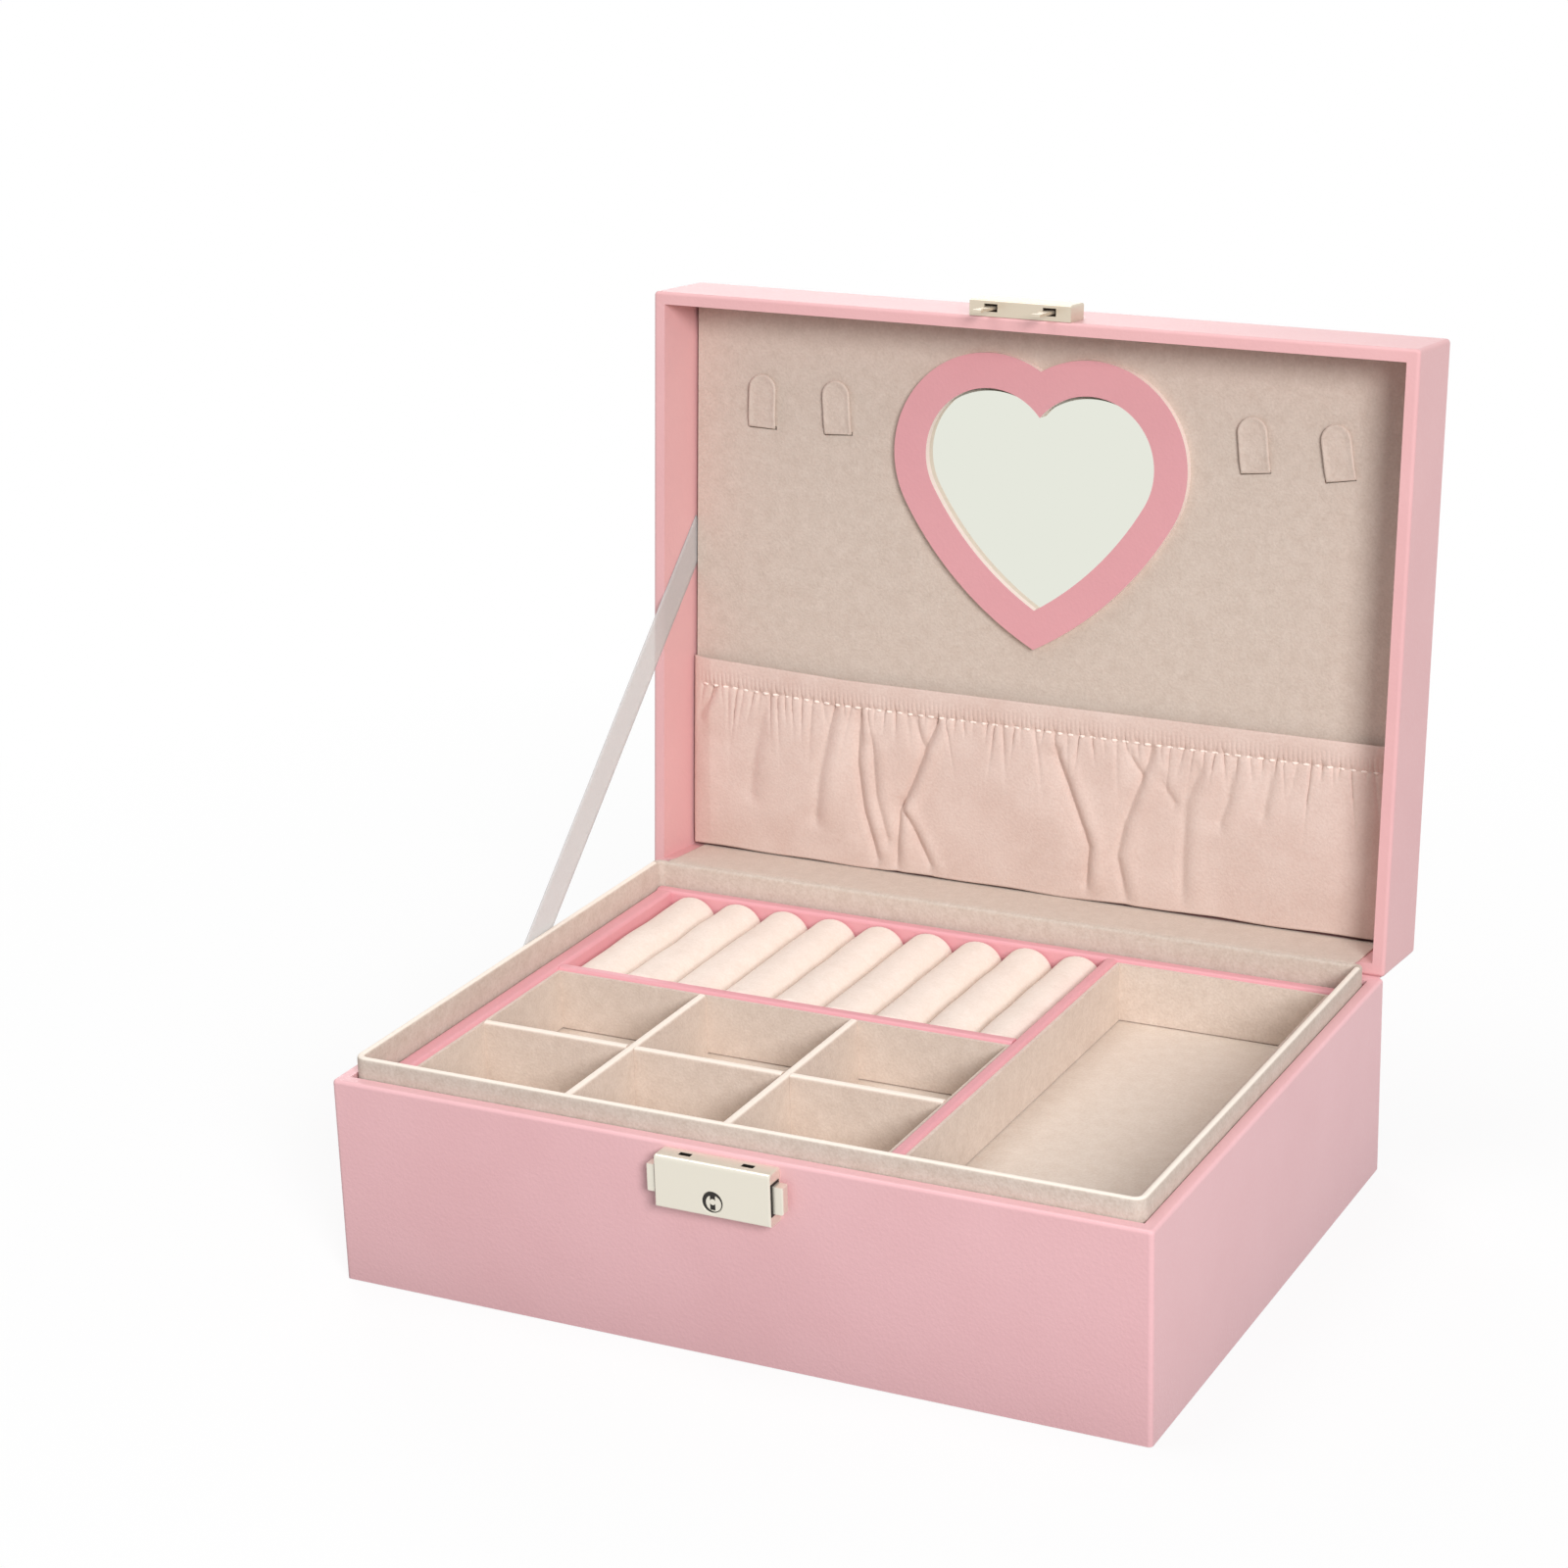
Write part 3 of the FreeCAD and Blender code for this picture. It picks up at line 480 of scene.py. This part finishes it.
def along_path(path, y):
    """x of a crease at y, and how strong it is there, fading past either end."""
    if y <= path[0][1]:
        return path[0][0], max(0.0, 1 - (path[0][1] - y) / crease_fade)
    for (xa, ya), (xb, yb) in zip(path, path[1:]):
        if y <= yb:
            k = (y - ya) / (yb - ya)
            return xa + (xb - xa) * k, 1.0
    return path[-1][0], max(0.0, 1 - (y - path[-1][1]) / crease_fade)


def pocket_lift(x, y):
    """How far the cloth's face stands off the lining, in millimetres, at a place in millimetres."""
    hem_y = 1000 * (hem_top + hem_band)
    foot = 1000 * pocket_foot
    side = min(1.0, (1000 * pocket_half - abs(x)) / side_taper)
    # The stitches pull the cloth down into a groove, and the elastic ribs the hem above them.
    lift = cloth_stand - groove_deep * math.exp(-((y - hem_y) / groove_wide) ** 2)
    if y <= hem_y:
        k = (y - 1000 * hem_top) / (1000 * hem_band)
        lift += hem_bulge * math.sin(math.pi * k)
        ribbed = min(1.0, max(0.0, 2.5 * (k - 0.3)))
        lift -= rib_deep * ribbed * (1 + math.cos(2 * math.pi * x / (1000 * rib_pitch)))
    else:
        t = (y - hem_y) / (foot - hem_y)
        lift += belly * math.sin(math.pi * min(1.0, 1.02 * t)) ** 0.8 - foot_fall * t
        lift += wave_high * math.sin(x / 11.0 + 1.7 * math.sin(y / 23.0)) * math.sin(math.pi * t)
        for path, depth, width in creases:
            cx, strength = along_path(path, y)
            if strength > 0 and abs(x - cx) < 8 * width:
                # Each crease is a groove in a broad hollow, with a ridge beside it on the right.
                d = (x - cx) / width
                fold_and_highlight = 0.8 * math.exp(-(d / 1.1) ** 2) + 0.5 * math.exp(-((d + 1.0) / 3.2) ** 2)
                fold_and_highlight -= 0.5 * math.exp(-((d - 2.7) / 2.0) ** 2)
                lift -= depth * strength * fold_and_highlight * min(1.0, 4 * (1 - t) + 0.3)
        off = ((x - pinch[0]) / pinch_wide) ** 2 + ((y - pinch[1]) / pinch_wide) ** 2
        lift += pinch_high * math.exp(-off)
    for gx, depth, width, reach, lean in gathers:
        d = (x - gx - lean * (y - hem_y)) / width
        if abs(d) < 3:
            spread = reach if y > hem_y else gather_rise
            lift -= depth * math.exp(-d * d - ((y - hem_y) / spread) ** 2)
    return side_stand + (lift - side_stand) * side ** 0.6


def pocket_place(x, down):
    """A point of the cloth's face, at a share of the way from the hem to the foot.
    The hem rises a little at the left end, where the elastic is sewn in higher, and the foot wavers."""
    top = hem_top - hem_rise * max(0.0, (-x - 0.06) / 0.05)
    waver = foot_waver * math.sin(x / 0.0071) * math.sin(x / 0.0183 + 1.0)
    foot = pocket_foot + waver - foot_slope * max(0.0, x - 0.02)
    lift = pocket_lift(1000 * x, 1000 * (hem_top + (pocket_foot - hem_top) * down))
    return top + (foot - top) * down, 0.001 * lift


build = bmesh.new()
grid = []
for j in range(rows + 1):
    line = []
    for i in range(columns + 1):
        x = -pocket_half + 2 * pocket_half * i / columns
        line.append(build.verts.new(on_lid(x, *pocket_place(x, j / rows))))
    grid.append(line)
for a, b in zip(grid, grid[1:]):
    for i in range(columns):
        build.faces.new((a[i], a[i + 1], b[i + 1], b[i]))
cloth_area = sum(f.calc_area() for f in build.faces)
pocket = new_piece("gathered_pocket", build, peach_cloth, "lid")
thicken = pocket.modifiers.new("cloth_thickness", "SOLIDIFY")
thicken.thickness, thicken.offset = cloth, -1.0
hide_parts("pocket")

# Stitch row of the pocket: short lockstitches of pale peach thread, about 3.4 mm apart, which close the hem
# below the elastic. The thread's twist shows as fine slanting bands.
stitch_thread, tree, place = start_material("peach_sewing_thread")
ply = add(tree, "ShaderNodeTexWave", {"Scale": 900.0, "Distortion": 0.5}, {"Vector": place})
shade = add(tree, "ShaderNodeMix", {"data_type": "RGBA", 6: linear("#FFF2E9"), 7: linear("#F6E3D8")},
            {0: ply.outputs["Fac"]})
end_material(tree, add(tree, "ShaderNodeBsdfPrincipled", {"Roughness": 0.7},
                       {"Base Color": shade.outputs[2]}))
build = bmesh.new()
stitch_gap, stitch_long, stitch_bow, thread = 0.0034, 0.0019, 0.0002, 0.00042
row_start, row_stop = 0.003, 0.004
stitch_rows, thread_sides = 6, 8
x = -pocket_half + row_start
while x < pocket_half - row_stop:
    rings = []
    for i in range(stitch_rows + 1):
        t = i / stitch_rows
        sx = x + stitch_long * t
        y, lift = pocket_place(sx, hem_band / (pocket_foot - hem_top))
        lift += cloth + stitch_bow * math.sin(math.pi * t)
        r = thread * max(0.25, math.sin(math.pi * (0.1 + 0.8 * t))) ** 0.5
        rings.append([on_lid(sx, y + r * math.cos(a), lift + r * math.sin(a))
                      for a in [2 * math.pi * k / thread_sides for k in range(thread_sides)]])
    skin(build, rings)
    x += stitch_gap
stitches = new_piece("pocket_stitches", build, stitch_thread, "lid")

# Hinge: the outer leather runs on from the base's back to the lid's back and folds along the hinge line.
# Inside, a velvet strip is tucked behind the rear rim and glued along the lid's back wall.
edge_row = 0.0003


def folded_strip(name, line, x0, x1, steps, thickness, material):
    """A sheet along X whose section is a line of (y, z) points, thickened both ways.
    A row close to each cut edge keeps the shading flat up to it."""
    first, second, before, last = [Vector(p) for p in (line[0], line[1], line[-2], line[-1])]
    near_first = first + (second - first).normalized() * edge_row
    near_last = last + (before - last).normalized() * edge_row
    line = [line[0], tuple(near_first)] + line[1:-1] + [tuple(near_last), line[-1]]
    places = [x0, x0 + edge_row] + [x0 + (x1 - x0) * i / steps for i in range(1, steps)] + [x1 - edge_row, x1]
    build = bmesh.new()
    skin(build, [[Vector((x, y, z)) for y, z in line] for x in places], closed_ring=False, cap=False)
    strip = new_piece(name, build, material, None)
    layer = strip.modifiers.new("sheet_thickness", "SOLIDIFY")
    layer.thickness, layer.offset = thickness, 0.0
    return strip


def rounded(points, radius, steps):
    """A line of points with each inner corner turned through an arc of short runs."""
    line = [points[0]]
    for a, b, c in zip(points, points[1:], points[2:]):
        a, b, c = Vector(a), Vector(b), Vector(c)
        p, q = b + (a - b).normalized() * radius, b + (c - b).normalized() * radius
        for i in range(steps + 1):
            t = i / steps
            line.append(tuple(p * (1 - t) ** 2 + b * 2 * t * (1 - t) + q * t * t))
    return line + [points[-1]]


strip_steps, fold_steps = 30, 6
# The leather lies just off the backs of the base and the lid, and is glued to 12 mm of each.
fold_off, fold_reach, fold_low, fold_radius = 0.00035, 0.012, 0.0003, 0.0012
fold_half, fold_thick = 0.1135, 0.0006
outside = rounded([(hinge_y + fold_off, hinge_z - fold_reach), (hinge_y + fold_off, hinge_z - fold_low),
                   lid_line(fold_off, fold_reach)], fold_radius, fold_steps)
hinge_skin = folded_strip("hinge_leather_fold", outside, -fold_half, fold_half, strip_steps, fold_thick,
                          case_leather)
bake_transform(hinge_skin)
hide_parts("hinge_leather")
# The velvet rises behind the rear rim, crosses to the lid and lies along the lid's back wall.
tuck_y, tuck_foot, tuck_top = 0.08265, 0.0495, 0.0621
wall_y, wall_near, wall_far = -0.00385, 0.0006, 0.0186
strip_half, strip_thick, strip_radius = 0.1074, 0.0004, 0.0008
inside = rounded([(tuck_y, tuck_foot), (tuck_y, tuck_top),
                  lid_line(wall_y, wall_near), lid_line(wall_y, wall_far)], strip_radius, fold_steps)
hinge_velvet = folded_strip("hinge_lining_velvet", inside, -strip_half, strip_half, strip_steps, strip_thick,
                            lid_velvet)
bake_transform(hinge_velvet)
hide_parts("hinge_lining")

# Ribbon stay: sheer white satin ribbon, glued in the gap beside the rim and in the gap beside the lid's
# lining. It pulls tight when the lid is open and stops it there.
# Woven satin: a smooth, slightly sheer face. Its threads are under 0.1 mm and are drawn at about 0.7 mm.
satin, tree, place = start_material("white_satin_ribbon")
ribs = add(tree, "ShaderNodeTexNoise", {"Scale": 1500.0, "Detail": 1.0}, {"Vector": place})
shade = add(tree, "ShaderNodeMix", {"data_type": "RGBA", 6: linear("#E2E0DF"), 7: linear("#D7D5D4")},
            {0: ribs.outputs["Fac"]})
bump = add(tree, "ShaderNodeBump", {"Strength": 0.15, "Distance": 0.0001}, {"Height": ribs.outputs["Fac"]})
end_material(tree, add(tree, "ShaderNodeBsdfPrincipled",
                       {"Roughness": 0.38, "Alpha": 0.6, "Sheen Weight": 0.2},
                       {"Base Color": shade.outputs[2], "Normal": bump.outputs[0]}))
stay_low, stay_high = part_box("ribbon_stay")
ribbon_x = round((stay_low.x + stay_high.x) / 2, 5)
ribbon_half, ribbon_thick = 0.00525, 0.0003
# Where it leaves the base, where it meets the lid, and how much is tucked in at either end
rim_y, rim_z, lid_y = 0.0133, 0.0631, -0.011
low_tuck, high_tuck = 0.013, 0.0055
ribbon_rows, ribbon_columns = 80, 8
low_end, high_end = Vector((ribbon_x, rim_y, rim_z)), on_lid(ribbon_x, lid_y, 0.0)
way = (high_end - low_end).normalized()
across = Vector((0, -way.z, way.y))
low_end, high_end = low_end - way * low_tuck, high_end + way * high_tuck
length = (high_end - low_end).length
build = bmesh.new()
skin(build, [[low_end + way * length * i / ribbon_rows + across * ribbon_half * (2 * k / ribbon_columns - 1)
              for k in range(ribbon_columns + 1)] for i in range(ribbon_rows + 1)],
     closed_ring=False, cap=False)
ribbon = new_piece("ribbon_stay_satin", build, satin, None)
layer = ribbon.modifiers.new("ribbon_thickness", "SOLIDIFY")
layer.thickness, layer.offset = ribbon_thick, 0.0
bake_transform(ribbon)
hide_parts("ribbon_stay")

# Lock, buttons, barrel and strike: pressed steel sheet with a pale satin nickel plating, fixed to the boards.
# Inside, near-black sheets are painted shade where the lock shows only shade: a back plate, linings in the
# slots and windows, and a plug in the barrel's keyway.


def nickel_plate(name, colour):
    """Satin nickel on steel: a soft reflection, duller in patches about 8 mm wide.
    It is drawn less metallic than bare nickel, which keeps its pale, milky look."""
    material, tree, place = start_material(name)
    wear = add(tree, "ShaderNodeTexNoise", {"Scale": 120.0, "Detail": 3.0}, {"Vector": place})
    polish = add(tree, "ShaderNodeMapRange", {"To Min": 0.27, "To Max": 0.33}, {"Value": wear.outputs["Fac"]})
    end_material(tree, add(tree, "ShaderNodeBsdfPrincipled", {"Base Color": linear(colour), "Metallic": 0.6},
                           {"Roughness": polish.outputs[0]}))
    return material


lock_nickel = nickel_plate("satin_nickel_plate", "#EBE5D6")
dress(lock_nickel, "lock_case", "lock_button_left", "lock_button_right", "key_barrel")
# The strike is the lock's nickel drawn darker and warmer, as it looks on the lid's edge: painted shade.
strike_nickel = nickel_plate("strike_nickel_painted_shade", "#DACDB9")
dress(strike_nickel, "strike")
# Painted shade: a dull, nearly black sheet, in flecks of about 1 mm, for the dark insides of the lock.
shade_black, tree, place = start_material("painted_shade_black")
scale = add(tree, "ShaderNodeTexNoise", {"Scale": 900.0, "Detail": 2.0}, {"Vector": place})
shade = add(tree, "ShaderNodeMix", {"data_type": "RGBA", 6: linear("#15120F"), 7: linear("#241F1A")},
            {0: scale.outputs["Fac"]})
end_material(tree, add(tree, "ShaderNodeBsdfPrincipled", {"Roughness": 0.6},
                       {"Base Color": shade.outputs[2]}))
block_cut = 0.00008


def add_block(build, low, high):
    """A box with its edges along the axes, with its corners cut a little."""
    made = bmesh.ops.create_cube(build, size=1.0)["verts"]
    for v in made:
        v.co = Vector([lo + (hi - lo) * (c + 0.5) for lo, hi, c in zip(low, high, v.co)])
    edges = list({e for v in made for e in v.link_edges})
    bmesh.ops.bevel(build, geom=edges, offset=block_cut, segments=1, affect="EDGES")


case_low, case_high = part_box("lock_case")
barrel_low, barrel_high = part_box("key_barrel")
barrel_z = (barrel_low.z + barrel_high.z) / 2
# The dark back plate, painted shade behind the slots and the keyway, stands against the case's back, short of
# its ends, its top and its foot.
plate_inset, plate_front, plate_rear, plate_foot, plate_top = 0.003, 0.0004, 0.0002, 0.008, 0.0009
build = bmesh.new()
add_block(build, (case_low.x + plate_inset, case_high.y - plate_front, case_high.z - plate_foot),
          (case_high.x - plate_inset, case_high.y - plate_rear, case_high.z - plate_top))
new_piece("lock_shade_plate", build, shade_black, "base", smooth=False)
# Painted shade in the keyway: a dark plug set just inside the barrel's face.
keyway_half, keyway_tall, shade_plug_depth, shade_plug_thick = 0.00072, 0.00215, 0.00015, 0.001
build = bmesh.new()
add_block(build, (-keyway_half, barrel_low.y + shade_plug_depth, barrel_z - keyway_tall),
          (keyway_half, barrel_low.y + shade_plug_depth + shade_plug_thick, barrel_z + keyway_tall))
new_piece("keyway_shade_plug", build, shade_black, "key_barrel", smooth=False)
# Painted shadow round the barrel: a dark ring over the gap, its hole set low and to the right so that the
# shadow is widest at the upper left.
shadow_ring_radius, shadow_ring_hole, shadow_ring_depth, shadow_ring_thick = 0.00278, 0.00222, 0.0002, 0.0001
hole_x, hole_z = 0.0003, -0.00032
shadow_ring_sides = 64
front, back = case_low.y + shadow_ring_depth, case_low.y + shadow_ring_depth + shadow_ring_thick
rings = []
for k in range(shadow_ring_sides):
    a = 2 * math.pi * k / shadow_ring_sides
    edge = (shadow_ring_radius * math.cos(a), barrel_z + shadow_ring_radius * math.sin(a))
    hole = (hole_x + shadow_ring_hole * math.cos(a), barrel_z + hole_z + shadow_ring_hole * math.sin(a))
    rings.append([(edge[0], front, edge[1]), (hole[0], front, hole[1]),
                  (hole[0], back, hole[1]), (edge[0], back, edge[1])])
build = bmesh.new()
skin(build, rings, cap=False, closed_path=True)
new_piece("barrel_shadow_ring", build, shade_black, "base", smooth=False)
# Dark linings, painted shade, line the slots that the strike's prongs drop into.
slot_middle_x, slot_middle_y, slot_shade_deep, slot_shade_wall = 0.0088, -0.0889, 0.0008, 0.0001
slot_half_x, slot_half_y, slot_shade_drop = 0.00168, 0.00083, 0.00006
for side, sign in (("left", -1), ("right", 1)):
    rings = []
    for cx, cy in ((-1, -1), (1, -1), (1, 1), (-1, 1)):
        ring = []
        for wall, drop in ((0, slot_shade_drop), (slot_shade_wall, slot_shade_drop),
                           (slot_shade_wall, slot_shade_deep), (0, slot_shade_deep)):
            ring.append((sign * slot_middle_x + cx * (slot_half_x - wall),
                         slot_middle_y + cy * (slot_half_y - wall), case_high.z - drop))
        rings.append(ring)
    build = bmesh.new()
    skin(build, rings, cap=False, closed_path=True)
    new_piece("prong_slot_shade_" + side, build, shade_black, "base", smooth=False)
# Other dark frames, painted shade too, line the openings that the side buttons slide in.
window_stand, window_front, window_rear, window_edge = 0.00012, 0.0005, 0.0002, 0.0003
for side, sign in (("left", -1), ("right", 1)):
    low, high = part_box("lock_button_" + side)
    wall = case_high.x if sign > 0 else case_low.x
    build = bmesh.new()
    outside_wall = wall + sign * window_stand
    add_block(build, (min(wall, outside_wall), low.y - window_front, low.z - window_edge),
              (max(wall, outside_wall), high.y + window_rear, high.z + window_edge))
    new_piece("button_window_shade_" + side, build, shade_black, "base", smooth=False)

# Floor and light: the case stands on a sweep of white paper, under an even pale sky. A broad soft key lamp
# stands in front on the right, and weaker lamps hang above, behind, and at the rear on the left.
floor_half, floor_drop = 6.0, 0.0002
floor_mesh = bpy.data.meshes.new("studio_floor")
floor_build = bmesh.new()
bmesh.ops.create_grid(floor_build, x_segments=1, y_segments=1, size=floor_half)
floor_build.to_mesh(floor_mesh)
floor_build.free()
floor = bpy.data.objects.new("studio_floor", floor_mesh)
bpy.context.scene.collection.objects.link(floor)
floor.location.z = -floor_drop


def seen_rays(tree):
    """1 for a ray by which the background is seen, directly, mirrored in metal or through glass."""
    ray = add(tree, "ShaderNodeLightPath").outputs
    seen = add(tree, "ShaderNodeMath", {"operation": "MAXIMUM"},
               {0: ray["Is Camera Ray"], 1: ray["Is Glossy Ray"]})
    return add(tree, "ShaderNodeMath", {"operation": "MAXIMUM"},
               {0: seen.outputs[0], 1: ray["Is Transmission Ray"]})


paper, tree, place = start_material("white_paper_sweep")
seen = seen_rays(tree)
# How far a place on the paper is from the case's foot
foot_half = (cad_box[1][0], back_high.y, 0.0)
folded = add(tree, "ShaderNodeVectorMath", {"operation": "ABSOLUTE"}, {0: place})
past = add(tree, "ShaderNodeVectorMath", {"operation": "SUBTRACT", 1: foot_half}, {0: folded.outputs[0]})
beside = add(tree, "ShaderNodeVectorMath", {"operation": "MAXIMUM", 1: (0.0, 0.0, 0.0)}, {0: past.outputs[0]})
reach = add(tree, "ShaderNodeVectorMath", {"operation": "LENGTH"}, {0: beside.outputs[0]}).outputs["Value"]
# Seen directly the paper is white, and it shows the case's shadow over the stretch beside it.
clear = add(tree, "ShaderNodeMapRange", {"From Min": 0.05, "From Max": 0.4, "To Min": 0.86, "To Max": 1.0},
            {"Value": reach})
lit = add(tree, "ShaderNodeMath", {"operation": "MULTIPLY"}, {0: seen.outputs[0], 1: clear.outputs[0]})
# For the light that it throws back on the case, the paper is drawn dark close to the case and paler from
# 80 mm off, so that the foot of the walls isn't lit too strongly from below.
away = add(tree, "ShaderNodeMapRange", {"From Min": 0.01, "From Max": 0.08}, {"Value": reach})
bounce = add(tree, "ShaderNodeMix", {"data_type": "RGBA", 6: linear("#262626"), 7: linear("#A8A8A8")},
             {0: away.outputs[0]})
tone = add(tree, "ShaderNodeMix", {"data_type": "RGBA", 7: linear("#F4F4F4")},
           {0: seen.outputs[0], 6: bounce.outputs[2]})
matt = add(tree, "ShaderNodeBsdfDiffuse", links={"Color": tone.outputs[2]})
glow = add(tree, "ShaderNodeEmission", {"Strength": 1.0})
both = add(tree, "ShaderNodeMixShader", links={0: lit.outputs[0], 1: matt.outputs[0], 2: glow.outputs[0]})
end_material(tree, both)
paper.cycles.emission_sampling = "NONE"
floor_mesh.materials.append(paper)

world = bpy.data.worlds.new("studio")
bpy.context.scene.world = world
world.use_nodes = True
tree = world.node_tree
tree.nodes.clear()
seen = seen_rays(tree)
power = add(tree, "ShaderNodeMapRange", {"To Min": 0.4, "To Max": 1.0}, {"Value": seen.outputs[0]})
sky = add(tree, "ShaderNodeBackground", {"Color": (1.0, 1.0, 1.0, 1.0)}, {"Strength": power.outputs[0]})
add(tree, "ShaderNodeOutputWorld", links={"Surface": sky.outputs[0]})

# Each lamp's name, place, aim, width in metres and power in watts
lamps = (
    ("key", (1.4, -1.55, 1.06), (0, 0.02, 0.08), 0.8, 41.0),
    ("top", (-0.35, -0.1, 1.35), (0, 0.05, 0.1), 0.7, 4.3),
    ("back", (-0.95, 2.0, 1.05), (0, 0.05, 0.15), 1.0, 5.0),
    ("left", (-1.5, 1.45, 0.45), (0, 0.05, 0.1), 0.7, 14.0),
)
for name, spot, target, size, watts in lamps:
    lamp = bpy.data.lights.new(name, "AREA")
    lamp.shape, lamp.size, lamp.energy = "DISK", size, watts
    holder = bpy.data.objects.new(name, lamp)
    bpy.context.scene.collection.objects.link(holder)
    # The side lamps have no mirror image, so that no surface flares where it is seen at a slant.
    holder.visible_glossy = name in ("top", "back")
    holder.location = spot
    holder.rotation_euler = (Vector(target) - Vector(spot)).to_track_quat("-Z", "Y").to_euler()

# Camera: set where the photograph was taken from, with its lens, its slight roll and its shifted framing.
# The angles, the place and the lens were fitted to the straight edges of the case.
camera_place = (0.3936, -0.7982, 0.4303)
azimuth, elevation, roll_angle = math.radians(-25.51), math.radians(20.27), math.radians(-1.05)
forward = Vector((math.sin(azimuth) * math.cos(elevation), math.cos(azimuth) * math.cos(elevation),
                  -math.sin(elevation)))
right = Vector((math.cos(azimuth), -math.sin(azimuth), 0))
down = forward.cross(right)
c, s = math.cos(roll_angle), math.sin(roll_angle)
right, down = right * c - down * s, right * s + down * c
lens = bpy.data.cameras.new("camera")
lens.sensor_width, lens.lens = 36.0, 82.47
lens.shift_x, lens.shift_y = -0.0818, 0.0564
lens.clip_start, lens.clip_end = 0.01, 50
camera = bpy.data.objects.new("camera", lens)
bpy.context.scene.collection.objects.link(camera)
turn = Matrix((right, -down, -forward)).transposed().to_4x4()
camera.matrix_world = Matrix.Translation(camera_place) @ turn
bpy.context.scene.camera = camera
bpy.context.scene.view_settings.view_transform = "Standard"
